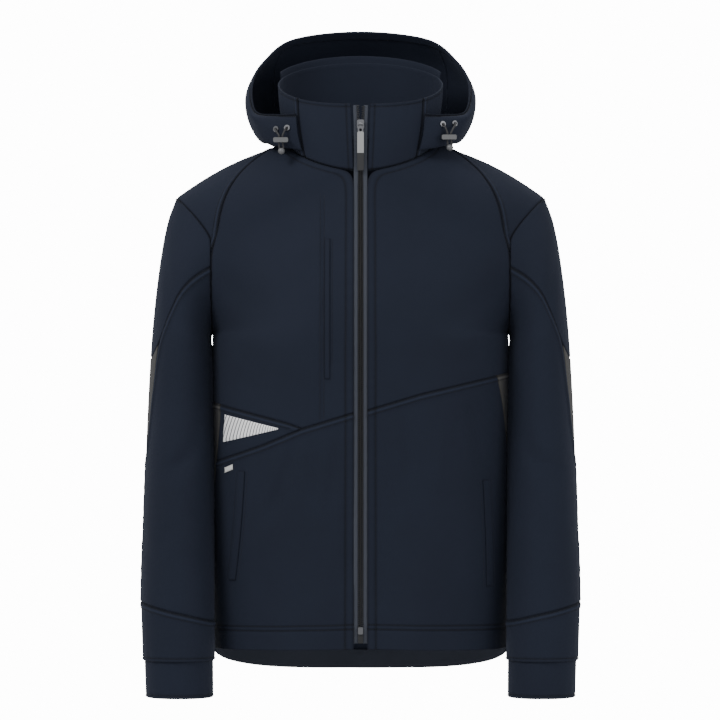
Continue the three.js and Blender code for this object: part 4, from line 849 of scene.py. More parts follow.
# %%
SLEEVE_LENGTH, SLEEVE_FAN, ARMHOLE_GAP = 670.0, 0.45, 0.7
SLEEVE_T = (0, 0.05, 0.12, 0.25, 0.4, 0.6, 0.8, 0.93, 1)
SLEEVE_OUTER = list(zip(SLEEVE_T, (250, 262, 271, 281, 287, 291, 294, 291, 289)))
SLEEVE_INNER = list(zip(SLEEVE_T, (201, 202, 202.4, 198.8, 198.4, 197.0, 195.8, 194.6, 194)))
SLEEVE_DEPTH = list(zip(SLEEVE_T, (67, 72, 78, 82, 78, 68, 57, 52, 49)))
SLEEVE_FORWARD = list(zip(SLEEVE_T, (0, 1, 3, 9, 20, 44, 70, 84, 90)))
CAP_LENGTH, CAP_ANGLE, CAP_BEND = 0.325, 92.0, 3.0
ELBOW_ANGLE, ELBOW_LENGTH, ELBOW_BEND = 44.0, 0.535, 2.5
ELBOW_WIDTH = 0.092  # width of the elbow panel kept with its cut sizes, metres; its widest line, at the top, is 0.117
ELBOW_EASE = 0.985  # share of its angle that the elbow panel fills, so that it clears the seam
CAP_TIP = 0.9998  # the cap stops this close to its point
CUFF_OUTER, CUFF_INNER, CUFF_END, STORM_TUCK = 0.812, 0.85, 0.927, 0.03
STORM_CLEARANCE = 0.45
FOLD_STRENGTH = 1.45  # all sleeve folds are this much deeper than their table says
PRESSED, PRESSED_ARC = 0.95, 45  # how much, and over how many degrees, the body presses the folds flat
FIRST_FINE = 7  # number of the first fine fold, from which on the two sleeves differ
MAIN_LOW, MAIN_HIGH = 0.4, 0.63  # shares of the sleeve piece at which the elbow panel starts and ends
# Columns: angle, spread, share of the length, slant, depth, width
SLEEVE_CREASES = (
    (118, 40, 0.36, 0.0011, 3.4, 0.016), (150, 46, 0.44, 0.0007, 3.0, 0.018),
    (100, 34, 0.53, -0.0008, 2.6, 0.02), (215, 38, 0.4, -0.001, 2.8, 0.018),
    (190, 50, 0.66, 0.0006, 2.2, 0.022), (60, 30, 0.16, 0.0016, 2.4, 0.018),
    (300, 34, 0.2, -0.0014, 2.6, 0.02),
    (84, 24, 0.29, 0.0013, 1.5, 0.012), (128, 30, 0.48, -0.0012, 1.7, 0.012),
    (66, 22, 0.4, 0.0019, 1.2, 0.011), (110, 26, 0.6, 0.0014, 1.8, 0.014),
    (74, 22, 0.68, -0.0011, 1.3, 0.013), (140, 34, 0.74, 0.0009, 1.7, 0.013),
    (100, 20, 0.23, -0.0008, -1.3, 0.02), (96, 26, 0.445, 0.0004, -1.4, 0.016),
    (240, 30, 0.5, 0.0012, 1.6, 0.014), (262, 24, 0.3, -0.0015, 1.5, 0.013),
    (250, 34, 0.62, -0.001, 1.9, 0.016), (285, 24, 0.72, 0.0011, 1.3, 0.012),
    (170, 30, 0.56, -0.0009, 1.6, 0.013), (30, 26, 0.7, 0.0012, 1.2, 0.014),
    (330, 24, 0.62, -0.0012, 1.2, 0.013),
)


def sleeve_crease(angle, t, side):
    """Troughs round the sleeve: depth times a bell curve of the angle and of the distance from a slanted
    ring, less where the sleeve lies against the body. The two sleeves are folded alike but not the same:
    on the right each fold sits a little elsewhere."""
    turn, spread, at, slant, depth, width = table_columns(SLEEVE_CREASES, angle.ndim)
    number = np.arange(len(SLEEVE_CREASES)).reshape(turn.shape)
    moved = (number >= FIRST_FINE) & (side > 0)
    shift = np.where(moved, 0.012 * np.sin(2.1 * number), 0)
    turn = turn + np.where(moved, 9 * np.cos(1.7 * number), 0)
    away = (angle - turn) / spread
    along = (t - at - shift - slant * (angle - turn)) / width
    against_body = np.exp(-(((angle - 180) / PRESSED_ARC) ** 2))
    folds = (depth * np.exp(-away**2 - along**2)).sum(0)
    return FOLD_STRENGTH * (1 - PRESSED * against_body) * folds


def rounded(value):
    """Keeps the sign and raises the size to a power just below 1, for a ring slightly squarer than an
    ellipse."""
    return np.sign(value) * np.abs(value) ** 0.92


def sleeve_shape(angle, t):
    """Sleeve surface of the right side: angle 0 on the outer line, 90 in front, 180 on the inner line."""
    angle = angle % 360
    turn = np.radians(angle)
    outer_z = ARMHOLE["top"] - SLEEVE_LENGTH * t
    fan = np.clip(1 - t / SLEEVE_FAN, 0, 1) ** 1.5
    inner_z = outer_z - (ARMHOLE["top"] - ARMPIT) * fan
    share = (1 + rounded(np.cos(turn))) / 2
    sideways = rounded(np.sin(turn))
    ring = np.stack([
        mix(smooth_table(SLEEVE_INNER, t), smooth_table(SLEEVE_OUTER, t), share),
        -smooth_table(SLEEVE_FORWARD, t) - smooth_table(SLEEVE_DEPTH, t) * sideways,
        mix(inner_z, outer_z, share)], -1)
    near = np.clip(1 - t / 0.2, 0, 1) ** 2
    start = np.stack([mix(ARMHOLE["inner"], ARMHOLE["inner"] + ARMHOLE["reach"], share),
                      -SLEEVE_DEPTH[0][1] * sideways, mix(ARMPIT, ARMHOLE["top"], share)], -1)
    face = np.where(angle <= 180, -1.0, 1.0)
    hole = armhole(np.where(angle <= 180, angle, 360 - angle), face)
    return ring + (hole - start) * near[..., None]


def sleeve(angle, t, side):
    """Points and inward directions of a sleeve, with its creases."""
    angle, t = np.broadcast_arrays(np.asarray(angle, float), np.asarray(t, float))
    around = sleeve_shape(angle + 0.4, t) - sleeve_shape(angle - 0.4, t)
    down = sleeve_shape(angle, np.minimum(t + 0.003, 1)) - sleeve_shape(angle, np.maximum(t - 0.003, 0))
    point = sleeve_shape(angle, t)
    inward = unit(np.cross(down, around))
    middle = (sleeve_shape(np.zeros_like(t), t) + sleeve_shape(np.full_like(t, 180), t)) / 2
    inward = inward * np.where((inward * (middle - point)).sum(-1) < 0, -1, 1)[..., None]
    calm = np.clip(t / 0.08, 0, 1) * np.clip((0.8 - t) / 0.08, 0, 1)
    point = point + inward * (sleeve_crease(angle % 360, t, side) * calm)[..., None]
    top = t < 1e-6
    folded = angle % 360
    edge = armhole_inward(np.where(folded <= 180, folded, 360 - folded), np.where(folded <= 180, -1.0, 1.0))
    inward = np.where(top[..., None], edge, inward)
    point = point + np.where(top, ARMHOLE_GAP, 0)[..., None] * np.array([1.0, 0, 0])
    mirror = np.array([side, 1, 1])
    return point * mirror, inward * mirror


def cap_end(angle):
    """Share of the length at which the cap seam crosses an angle. Seen from the front the seam is a straight
    slant, which on the round sleeve is one minus the third power of the angle's share."""
    return CAP_LENGTH * (1 - (angle / CAP_ANGLE) ** CAP_BEND)


def cap_angle(t):
    """Angle at which the cap seam crosses a share of the length: cap_end the other way round."""
    return CAP_ANGLE * np.clip(1 - t / CAP_LENGTH, 0, 1) ** (1 / CAP_BEND)


def elbow_end(angle):
    """Share of the length at which the elbow panel's lower edge crosses an angle."""
    corner = cap_end(ELBOW_ANGLE)
    return corner + (ELBOW_LENGTH - corner) * (1 - (angle / ELBOW_ANGLE) ** ELBOW_BEND)


def cuff_seam(angle):
    """Share of the length of the cuff seam: further down on the inner line than on the outer one."""
    return mix(CUFF_OUTER, CUFF_INNER, (1 - np.cos(np.radians(angle))) / 2)


def cap_place(a, b, side):
    """The cap: rows get narrower towards its point, which b reaches at its lower end."""
    t = CAP_LENGTH * CAP_TIP * (1 - b)
    return sleeve((2 * a - 1) * cap_angle(t), t, side)


def elbow_place(a, b, side):
    """The elbow panel, a kite round the outer line."""
    angle = (2 * a - 1) * ELBOW_ANGLE * ELBOW_EASE
    return sleeve(angle, mix(elbow_end(np.abs(angle)), cap_end(np.abs(angle)), b), side)


def main_place(a, b, side):
    """The rest of the sleeve, from the cuff seam up: closed on the outer line as far as the elbow panel, then
    round that panel, then round the cap."""
    low, high = MAIN_LOW, MAIN_HIGH
    corner = cap_end(ELBOW_ANGLE)
    angle = ELBOW_ANGLE * np.clip((b - low) / (high - low), 0, 1)
    t_top = corner * (1 - np.clip((b - high) / (1 - high), 0, 1))
    edge = np.where(b < high, angle, cap_angle(t_top))
    t_elbow = elbow_end(angle)
    around = mix(edge, 360 - edge, a)
    t_below = mix(cuff_seam(around), ELBOW_LENGTH, np.clip(b / low, 0, 1))
    return sleeve(around, np.where(b < low, t_below, np.where(b < high, t_elbow, t_top)), side)


for side, word in ((-1, "left"), (1, "right")):
    panel(f"sleeve_cap_{word}", lambda a, b: cap_place(a, b, side), "plain", "plain", "plain", "plain")
    panel(f"sleeve_{word}", lambda a, b: main_place(a, b, side), "plain", "single", "band", "band")
    panel(f"elbow_panel_{word}", lambda a, b: elbow_place(a, b, side), "plain", "plain", "plain", "plain")
    CUTS[f"elbow_panel_{word}"] = (ELBOW_WIDTH, *CUTS[f"elbow_panel_{word}"][1:])
    panel(f"cuff_{word}", lambda a, b: sleeve(360 * a, mix(CUFF_END, cuff_seam(360 * a), b), side),
          "open", "band", "plain", "plain", step=3.0, ring=True)
    panel(f"storm_cuff_{word}", lambda a, b: sleeve(360 * a, mix(1, CUFF_END - STORM_TUCK, b), side),
          "open", "free", "plain", "plain", step=3.4, out=-WALL - STORM_CLEARANCE, ring=True)
print("pieces so far, with the sleeves:", len(PIECES))

# %% [markdown]
# ## Collar and hood
#
# The collar rises from the neck curve and leans out. At the chin a separate panel stands on each side of the
# zip. Outside the back of the collar lies a neck band, and the hood is sewn on below it. The hood is drawn
# by seven sections from the chin seam to the centre back; each has five points from its root on the collar,
# down and out, up, and in to its brim. A smooth curve through the points gives the section, and smooth curves
# across the sections give the surface.

# %%
COLLAR = {"half": 112, "front": -84, "side": -12, "back": 80, "front_z": 57, "back_z": 124, "splay": 3.6,
          "belly": 3, "chin": 46}
COLLAR_GAP, BAND_WALL, BAND_CLEARANCE, BAND_ANGLE = 1.5, 1.6, 0.45, 106.9
HOOD_ROOT, HOOD_CLEAR, HOOD_SEAM, HOOD_CHANNEL = 0.1, 2.3, 4.8, 3.72
# Angle on the collar, then the points low, out, high and at the brim
HOOD = (
    (47, (80, -70, -2), (84, -71, 15), (86, -70, 32), (87, -68, 45)),
    (62, (104, -60, 0), (111, -62, 18), (115, -58, 35), (114, -54, 45)),
    (78, (127, -36, 7), (140, -36, 25), (148, -31, 43), (142, -27, 52)),
    (95, (132, 6, 8), (152, 8, 34), (158, 12, 70), (148, 14, 93)),
    (120, (126, 66, 10), (150, 72, 42), (150, 70, 92), (132, 60, 127)),
    (150, (84, 116, -6), (106, 140, 40), (108, 122, 116), (92, 92, 159)),
    (180, (0, 134, -18), (0, 168, 36), (0, 156, 122), (0, 112, 171)),
)
# Wide, soft dents of the hood, by section and point: u, v, reach in u, reach in v, depth
HOOD_DENTS = (
    (2.2, 2.4, 0.5, 0.5, 1.6), (3.3, 1.7, 0.35, 0.6, 1.8), (4.3, 2.6, 0.5, 0.45, 1.6),
    (5.5, 2.0, 0.35, 0.7, 2.0), (3.8, 3.1, 0.5, 0.3, 1.2), (1.4, 1.6, 0.4, 0.5, 1.2),
    (5.1, 1.1, 0.5, 0.3, 1.6), (2.8, 3.2, 0.4, 0.35, 1.2),
)


def collar_shape(angle, v):
    """Collar surface of the right side: angle from the zip (0) to the centre back (180), v up its height. A
    straight blend from the neck curve to the top curve, with a slight belly."""
    angle, v = np.broadcast_arrays(np.asarray(angle, float), np.asarray(v, float))
    turn = np.radians(angle)
    base = neckline(angle) + np.array([0, 0, COLLAR_GAP])
    front = angle <= 90
    start = np.where(front, ZIP_HALF + COLLAR["splay"], 0.0)
    swing = np.where(front, COLLAR["front"] - COLLAR["side"], COLLAR["side"] - COLLAR["back"])
    rise = ((1 - np.cos(turn)) / 2) ** 1.1
    top = np.stack([start + (COLLAR["half"] - start) * np.sin(turn), COLLAR["side"] + swing * np.cos(turn),
                    mix(COLLAR["front_z"], COLLAR["back_z"], rise)], -1)
    belly = COLLAR["belly"] * np.sin(np.pi * np.clip(v, 0, 1))
    return mix(base, top, v[..., None]) - neck_inward(angle) * belly[..., None]


def collar(angle, v, side):
    """Points and inward directions of the collar."""
    angle, v, side = np.broadcast_arrays(np.asarray(angle, float), np.asarray(v, float), side)
    across = collar_shape(np.minimum(angle + 1, 180), v) - collar_shape(np.maximum(angle - 1, 0), v)
    upward = collar_shape(angle, v + 0.01) - collar_shape(angle, v - 0.01)
    inward = unit(np.cross(upward, across))
    inward = inward * np.where((inward * neck_inward(angle)).sum(-1) < 0, -1, 1)[..., None]
    level = ((angle < 1e-6) | (angle > 180 - 1e-6))[..., None]
    inward = unit(np.where(level, inward * np.array([0, 1.0, 1.0]), inward))
    mirror = np.stack([side, np.ones_like(v), np.ones_like(v)], -1)
    return collar_shape(angle, v) * mirror, inward * mirror


def round_the_back(a, low, high):
    """Angle and side for a piece that runs from the left side round the back to the right."""
    away, side = both_sides(a)
    return mix(high, low, away), side


def through_weights(position, count):
    """Weight of each of count points in a smooth curve at a position counted in points: between two points
    the curve leaves and arrives with half the difference of its neighbours."""
    position = np.asarray(position, float)
    i = np.clip(np.floor(position).astype(int), 0, count - 2)
    u = (position - i)[..., None]
    basis = [u - 2 * u**2 + u**3, -u**2 + u**3, 1 - 3 * u**2 + 2 * u**3, 3 * u**2 - 2 * u**3]
    leave, arrive, low, high = basis
    one = np.eye(count)
    before, after = one[np.maximum(i - 1, 0)], one[np.minimum(i + 2, count - 1)]
    between = one[i] * (low - arrive / 2) + one[i + 1] * (high + leave / 2)
    return between - before * leave / 2 + after * arrive / 2


def hood_points():
    """Points of all sections, with the root on the collar, and the last but one mirrored past the back."""
    angles = np.array([row[0] for row in HOOD], float)
    root = collar_shape(angles, np.full_like(angles, HOOD_ROOT)) - neck_inward(angles) * HOOD_CLEAR
    points = np.concatenate([root[:, None], np.array([row[1:] for row in HOOD], float)], 1)
    return np.concatenate([points, points[-2:-1] * np.array([-1.0, 1, 1])])


HOOD_POINTS = hood_points()
BACK_SECTION = len(HOOD) - 1.0  # number of the section at the centre back


def hood_shape(u, v):
    """Hood surface of the right side: u counts sections from the chin, v counts points from the root."""
    u, v = np.broadcast_arrays(np.asarray(u, float), np.asarray(v, float))
    sections, points = HOOD_POINTS.shape[:2]
    weights = through_weights(u, sections), through_weights(v, points)
    return np.einsum("...s,...p,spc->...c", *weights, HOOD_POINTS)


def hood(u, v, side):
    """Points and inward directions of the hood, with its dents."""
    u, v, side = np.broadcast_arrays(np.asarray(u, float), np.asarray(v, float), side)
    across = hood_shape(np.minimum(u + 0.03, BACK_SECTION + 0.02), v) - hood_shape(np.maximum(u - 0.03, 0), v)
    upward = hood_shape(u, np.minimum(v + 0.03, 4)) - hood_shape(u, np.maximum(v - 0.03, 0))
    inward = -unit(np.cross(across, upward))
    inward = np.where((u > BACK_SECTION - 1e-6)[..., None], unit(inward * np.array([0, 1.0, 1.0])), inward)
    at_u, at_v, reach_u, reach_v, depth = table_columns(HOOD_DENTS, u.ndim)
    dents = (depth * np.exp(-(((u - at_u) / reach_u) ** 2) - ((v - at_v) / reach_v) ** 2)).sum(0)
    calm = np.clip(v / 0.5, 0, 1) * np.clip((4 - v) / 0.5, 0, 1) * np.clip(u / 0.6, 0, 1)
    point = hood_shape(u, v) + inward * (dents * calm)[..., None]
    mirror = np.stack([side, np.ones_like(u), np.ones_like(u)], -1)
    return point * mirror, inward * mirror


def hood_round(a, b, low_u, low_v, high_v):
    """A part of the hood that runs from the left round the back to the right, from section low_u on."""
    away, side = both_sides(a)
    return hood(mix(BACK_SECTION, low_u, away), mix(low_v, high_v, b), side)


def collar_round(a, b, low_angle, low_v=0.0, high_v=1.0):
    """A part of the collar that runs round the back between the same angle on both sides."""
    angle, side = round_the_back(a, low_angle, 180.0)
    return collar(angle, mix(low_v, high_v, b), side)


for side, word in ((-1, "left"), (1, "right")):
    panel(f"chin_panel_{word}", lambda a, b: collar(COLLAR["chin"] * a, b, side),
          "plain", "open", "zip", "plain", step=3.0)
    panel(f"hood_side_{word}", lambda a, b: hood(HOOD_SEAM * a, HOOD_CHANNEL * b, side),
          "plain", "single", "free", "band")
panel("collar", lambda a, b: collar_round(a, b, COLLAR["chin"]), "plain", "open", "band", "band", step=3.4)
panel("hood_neck_band", lambda a, b: collar_round(a, b, BAND_ANGLE, 0.42, 1.1),
      "free", "open", "free", "free", out=BAND_WALL + BAND_CLEARANCE, thick=BAND_WALL)
panel("hood_centre", lambda a, b: hood_round(a, b, HOOD_SEAM, 0.0, HOOD_CHANNEL),
      "plain", "single", "plain", "plain")
panel("hood_channel", lambda a, b: hood_round(a, b, 0.0, HOOD_CHANNEL + 0.02, 4.0),
      "plain", "free", "free", "free", step=3.6, out=0.5, thick=WALL + 1)
print("hood pieces:", [name for name in PIECES if name.startswith("hood")])

# %% [markdown]
# ## Hem facing
#
# Inside the hem a strip of thinner cloth covers the raw edge. Through the open hem the inside of the back's
# longer tail shows below the front.

# %%
FACING_HEIGHT, FACING_WALL, FACING_GAP = 26.0, 1.0, 1.3
FACINGS = (("hem_facing_left", -1, -1), ("hem_facing_right", -1, 1), ("hem_facing_back", 1, 0))


def facing_top(face):
    """The facing's upper edge, one facing's height above the hem, by the share of the way round."""
    return lambda share: torso_shape(share, np.zeros_like(share), face)[..., 2] + FACING_HEIGHT


def facing_place(a, b, face, only_side):
    """A strip inside the hem: on one side of the front, or, where only_side is 0, all along the back."""
    s, side = (a, only_side) if only_side else both_sides(a)
    return lower_place(s, b, face, side, facing_top(face))


for name, face, only_side in FACINGS:
    panel(name, lambda a, b: facing_place(a, b, face, only_side), "free", "free", "free", "free",
          step=4.5, out=-WALL - FACING_GAP, thick=FACING_WALL)
print("cloth pieces:", len(PIECES), {name: [round(size, 4) for size in cut] for name, cut in CUTS.items()})

# %% [markdown]
# ## What lies on the fronts
#
# The pocket welts, the reflective triangle and the label follow the cloth below them: for each of their
# points, the matching shares on the front are found by a few steps of Newton's method, and the point is
# moved out from there.

# %%
LIFT = 0.45  # clear space between the cloth and what lies on it
WELT_WALL, WELT_STITCHES = 1.2, 3.0  # a welt's wall, and how far beside it the stitches run
TRIANGLE_WALL, TRIANGLE_PROUD = 0.7, 0.55
LABEL_WALL = 0.9
STITCH_LIFT = 0.1  # how far the stitches on the fronts stand above the cloth
NEWTON_STEPS = 14
POCKETS = (
    ("chest_pocket_welt", -1, (44, -125), (44, -311), 0.0, 7.0),
    ("hand_pocket_welt_left", -1, (158, -434), (171, -580), -1.5, 9.0),
    ("hand_pocket_welt_right", 1, (167, -446), (172, -588), 1.0, 9.0),
)
TRIANGLE = {"tip": (109, -377), "tip_height": 1.6, "high": (181, -359), "low": (184, -396)}
LABEL = {"near": 170, "far": 181, "low": -432, "high": -425, "slope": -0.45}


def on_front(x, z, side):
    """Points and inward directions of a front at given distances from the centre line and heights. The shares
    are guessed from the width and the height, then corrected again and again by the slopes of the surface."""
    s = np.clip(x / ARMHOLE["inner"], 0.02, 0.9)
    t = np.clip((z - FRONT_HEM) / (NECK["front_z"] - FRONT_HEM), 0.02, 0.9) * ROW_NECK
    step = 0.002
    for _ in range(NEWTON_STEPS):
        here = torso_shape(s, t, -1)
        ds, dt = torso_shape(s + step, t, -1) - here, torso_shape(s, t + step, -1) - here
        scale = ds[..., 0] * dt[..., 2] - dt[..., 0] * ds[..., 2]
        dx, dz = x - here[..., 0], z - here[..., 2]
        s = np.clip(s + step * (dx * dt[..., 2] - dz * dt[..., 0]) / scale, 0.001, 0.995)
        t = np.clip(t + step * (dz * ds[..., 0] - dx * ds[..., 2]) / scale, 0.001, ROW_NECK - 0.002)
    return torso(s, t, -1, side)


def welt_place(a, b, side, top, bottom, lean, width):
    """A narrow strip between two ends, slightly bowed."""
    middle = mix(bottom[0], top[0], b) + lean * np.sin(np.pi * b)
    return on_front(middle + (a - 0.5) * width, mix(bottom[1], top[1], b), side)


def triangle_place(a, b):
    """The reflective triangle: b runs from its lower to its upper edge, a from its point to its wide end."""
    tip, high, low = TRIANGLE["tip"], TRIANGLE["high"], TRIANGLE["low"]
    spread = TRIANGLE["tip_height"] * (b - 0.5) * (1 - a)
    x = mix(mix(tip[0], low[0], a), mix(tip[0], high[0], a), b)
    z = mix(mix(tip[1], low[1], a), mix(tip[1], high[1], a), b)
    return on_front(x, z + spread, -1)


def stitch_on_front(x, z, side):
    """Keeps a row of stitches that runs over a front through the given distances and heights."""
    line, inward = on_front(x, z, side)
    STITCH_LINES.append((line - STITCH_LIFT * inward, -inward))


def label_place(a, b):
    """The label: a small tag whose short sides are upright and whose long ones slope."""
    x = mix(LABEL["near"], LABEL["far"], a)
    return on_front(x, mix(LABEL["low"], LABEL["high"], b) + LABEL["slope"] * (x - LABEL["near"]), -1)


for name, side, top, bottom, lean, width in POCKETS:
    panel(name, lambda a, b: welt_place(a, b, side, top, bottom, lean, width), "free", "free", "free", "free",
          step=3.0, out=LIFT + WELT_WALL, thick=WELT_WALL)
    along = np.linspace(0, 1, 80)
    middle = mix(bottom[0], top[0], along) + lean * np.sin(np.pi * along)
    for share in (-0.5, 0.5):
        stitch_on_front(middle + share * (width + 2 * WELT_STITCHES), mix(bottom[1], top[1], along), side)
along = np.linspace(0, 1, 160)
for beside in (-2.6, 2.6):
    stitch_on_front(mix(POCKET_SEAM[0], POCKET_SEAM[2], along) + beside,
                    mix(POCKET_SEAM[1], POCKET_SEAM[3], along), -1)
panel("reflective_triangle", triangle_place, "free", "free", "free", "free",
      step=3.0, out=LIFT + TRIANGLE_PROUD, thick=TRIANGLE_WALL)
panel("label_tab", label_place, "free", "free", "free", "free",
      step=2.0, out=LIFT + LABEL_WALL, thick=LABEL_WALL)
print("pieces on the fronts:", [name for name, *_ in POCKETS], "triangle, label")

# %% [markdown]
# ## Stitches
#
# A lockstitch shows as a row of short thread ends, each sunk where it enters the cloth. All rows were
# collected while the pieces were made. Here each row is cut into equal lengths, and a small spindle with
# four sides is put on each one. A row thus takes the form of the cloth it was taken from.

# %%
STITCH_PITCH, STITCH_LENGTH, STITCH_HALF = 3.0, 2.3, 0.24


def stitch_frames(line, away):
    """Middle points, directions and outward directions of the stitches along a line, evenly spaced by its
    length."""
    length = np.concatenate([[0], np.cumsum(np.linalg.norm(np.diff(line, axis=0), axis=1))])
    count = int(length[-1] // STITCH_PITCH)
    if count < 1:
        return np.zeros((0, 3)), np.zeros((0, 3)), np.zeros((0, 3))
    at = (np.arange(count) + 0.5) * length[-1] / count

    def along(distance, values):
        return np.stack([np.interp(distance, length, values[:, i]) for i in range(3)], -1)

    forward = unit(along(at + 0.8, line) - along(at - 0.8, line))
    return along(at, line), forward, unit(along(at, away))


def spindles(centre, forward, away, length, half):
    """Points and faces of one spindle for each frame: four rings of four points, bent over like a staple."""
    sideways = unit(np.cross(forward, away))
    along = np.array([-0.5, -0.22, 0.22, 0.5]) * length
    girth = np.array([0.25, 1, 1, 0.25]) * half
    lift = np.array([-0.22, 0.12, 0.12, -0.22])
    turn = np.radians([45, 135, 225, 315])[:, None]
    centre, forward, away, sideways = (v[:, None, None] for v in (centre, forward, away, sideways))
    along, girth, lift = (v[:, None, None] for v in (along, girth, lift))
    rings = (centre + forward * along + away * (lift + girth * np.sin(turn))
             + sideways * girth * np.cos(turn))
    points = rings.reshape(-1, 3)
    one = np.concatenate([grid_faces(4, 4, ring=True), [[3, 2, 1, 0], [12, 13, 14, 15]]])
    faces = (one[None] + 16 * np.arange(len(centre))[:, None, None]).reshape(-1, 4)
    if volume(points[:16], one) < 0:
        faces = faces[:, ::-1]
    return points, faces


frames = [stitch_frames(line, away) for line, away in STITCH_LINES]
centre, forward, away = (np.concatenate([entry[i] for entry in frames]) for i in range(3))
stitch_points, stitch_faces = spindles(centre, forward, away, STITCH_LENGTH, STITCH_HALF)
stitching = make_mesh("stitching", stitch_points, stitch_faces)
print("rows:", len(STITCH_LINES), "stitches:", len(centre), "faces:", len(stitch_faces))

# %% [markdown]
# ## Front zip
#
# The zip runs from the hem to the top of the collar. Two tapes lie a little behind the fronts' edges and
# carry the teeth, which mesh below the slider and stand apart above it, where the collar leans out. Each
# tooth is a small block with a narrower head; the two sides are shifted by half a pitch.

# %%
ZIP = {"bottom": -661.0, "slider": 29.0, "tape_from": 3.2, "tape_to": 9.1, "recess": 1.2, "tape_wall": 0.9,
       "pitch": 2.5, "box": 11.0, "top": 55.0}


def zip_face(z):
    """Distance from the side line of the cloth's outer face on the centre line, at a height."""
    z = np.asarray(z, float)
    base = NECK["front_z"] + COLLAR_GAP
    share = np.clip((z - base) / (COLLAR["front_z"] - base), 0, 1)
    return np.where(z <= base, -smooth_table(BODY_FRONT, z), collar_shape(np.zeros_like(z), share)[..., 1])


def zip_splay(z):
    """How far each half of the open zip has moved from the centre line."""
    rise = COLLAR["front_z"] - NECK["front_z"]
    return np.clip(z - ZIP["slider"], 0, 100) * COLLAR["splay"] / rise


def tape_place(a, b, side):
    """A tape: from beside the teeth to under the front's edge."""
    z = mix(ZIP["bottom"], ZIP["top"], b)
    point = np.stack([side * (mix(ZIP["tape_from"], ZIP["tape_to"], a) + zip_splay(z)),
                      zip_face(z) + ZIP["recess"], z], -1)
    return point, np.broadcast_to([0, 1.0, 0], point.shape)


def soften(piece, width, segments, limit):
    """Rounds the edges of a hard piece over a width in metres."""
    bevel = piece.modifiers.new("soften", "BEVEL")
    bevel.width, bevel.segments, bevel.limit_method = width, segments, limit


def teeth(side):
    """Teeth of one side: a block of eight points at each step up the zip, its head narrower than its foot."""
    low = ZIP["bottom"] + ZIP["box"] + 1.5
    z = np.arange(low + (ZIP["pitch"] / 2 if side > 0 else 0), ZIP["top"], ZIP["pitch"])
    apart = zip_splay(z) + np.where(z > ZIP["slider"], 1.2, 0)
    foot, head = 3.5, -0.5
    x = np.array([foot, head, head, foot, foot, head, head, foot])
    height = np.array([-0.95, -0.6, 0.6, 0.95, -0.8, -0.4, 0.4, 0.8])
    depth = np.array([1.4, 1.4, 1.4, 1.4, -0.9, -0.9, -0.9, -0.9])
    points = np.stack([side * (x + apart[:, None]), (zip_face(z) + ZIP["recess"])[:, None] + depth,
                       z[:, None] + height], -1).reshape(-1, 3)
    box = np.array([[0, 1, 2, 3], [7, 6, 5, 4], [0, 4, 5, 1], [1, 5, 6, 2], [2, 6, 7, 3], [3, 7, 4, 0]])
    faces = (box[None] + 8 * np.arange(len(z))[:, None, None]).reshape(-1, 4)
    if volume(points[:8], box) < 0:
        faces = faces[:, ::-1]
    return make_mesh(f"zip_teeth_row_{'left' if side < 0 else 'right'}", points, faces, smooth=False)


for side, word in ((-1, "left"), (1, "right")):
    panel(f"zip_tape_{word}", lambda a, b: tape_place(a, b, side), "free", "free", "free", "free",
          thick=ZIP["tape_wall"], follow=False)
    PIECES[f"zip_teeth_{word}"] = teeth(side)
    soften(PIECES[f"zip_teeth_{word}"], 0.0002, 1, "NONE")
print("teeth a side:", len(PIECES["zip_teeth_left"].data.polygons) // 6)

# %% [markdown]
# ## Materials
#
# Three effects are shared and made once as node groups. `weave` is the fine cross-ribbed face of the cloth,
# laid out by the texture position that every piece carries in metres; it feeds the bump. `uneven` is a slow
# change of tone over the jacket, as cloth that has been handled shows. The third group reads the painted
# shade and painted highlight that each piece carries along its seams and stitches: darker in the seams and
# along the stitch rows, lighter on a raised band. Sheen in the shader gives the faint pale rim that fine
# fibres catch.

# %%
MATERIALS = {}


def new_group(name, inputs, outputs):
    """An empty shader node group with float inputs (name, value) and outputs (name, type)."""
    group = bpy.data.node_groups.new(name, "ShaderNodeTree")
    for label, value in inputs:
        socket = group.interface.new_socket(label, in_out="INPUT", socket_type="NodeSocketFloat")
        socket.default_value = value
    for label, kind in outputs:
        group.interface.new_socket(label, in_out="OUTPUT", socket_type=kind)
    return group, group.nodes.new("NodeGroupInput"), group.nodes.new("NodeGroupOutput")


def math_node(tree, operation, first, second=None):
    """A Math node fed by sockets or plain numbers; gives its output."""
    node = tree.nodes.new("ShaderNodeMath")
    node.operation = operation
    for socket, value in zip(node.inputs, (first, second)):
        if value is None:
            continue
        if isinstance(value, (int, float)):
            socket.default_value = value
        else:
            tree.links.new(value, socket)
    return node.outputs[0]


def weave_group():
    """Ribs across and up the cloth: the product of two sine waves whose length is the input Pitch, in
    metres, with every other rib shifted by half a pitch."""
    group, given, out = new_group("weave", (("Pitch", 0.001), ("Depth", 1.0)),
                                  (("Height", "NodeSocketFloat"),))
    uv = group.nodes.new("ShaderNodeUVMap")
    uv.uv_map = "cloth"
    split = group.nodes.new("ShaderNodeSeparateXYZ")
    group.links.new(uv.outputs[0], split.inputs[0])
    turns = math_node(group, "DIVIDE", 2 * math.pi, given.outputs["Pitch"])
    across = math_node(group, "SINE", math_node(group, "MULTIPLY", split.outputs[0], turns))
    up = math_node(group, "SINE", math_node(group, "MULTIPLY", split.outputs[1], turns))
    height = math_node(group, "MULTIPLY", math_node(group, "MULTIPLY", across, up), given.outputs["Depth"])
    group.links.new(height, out.inputs["Height"])
    return group


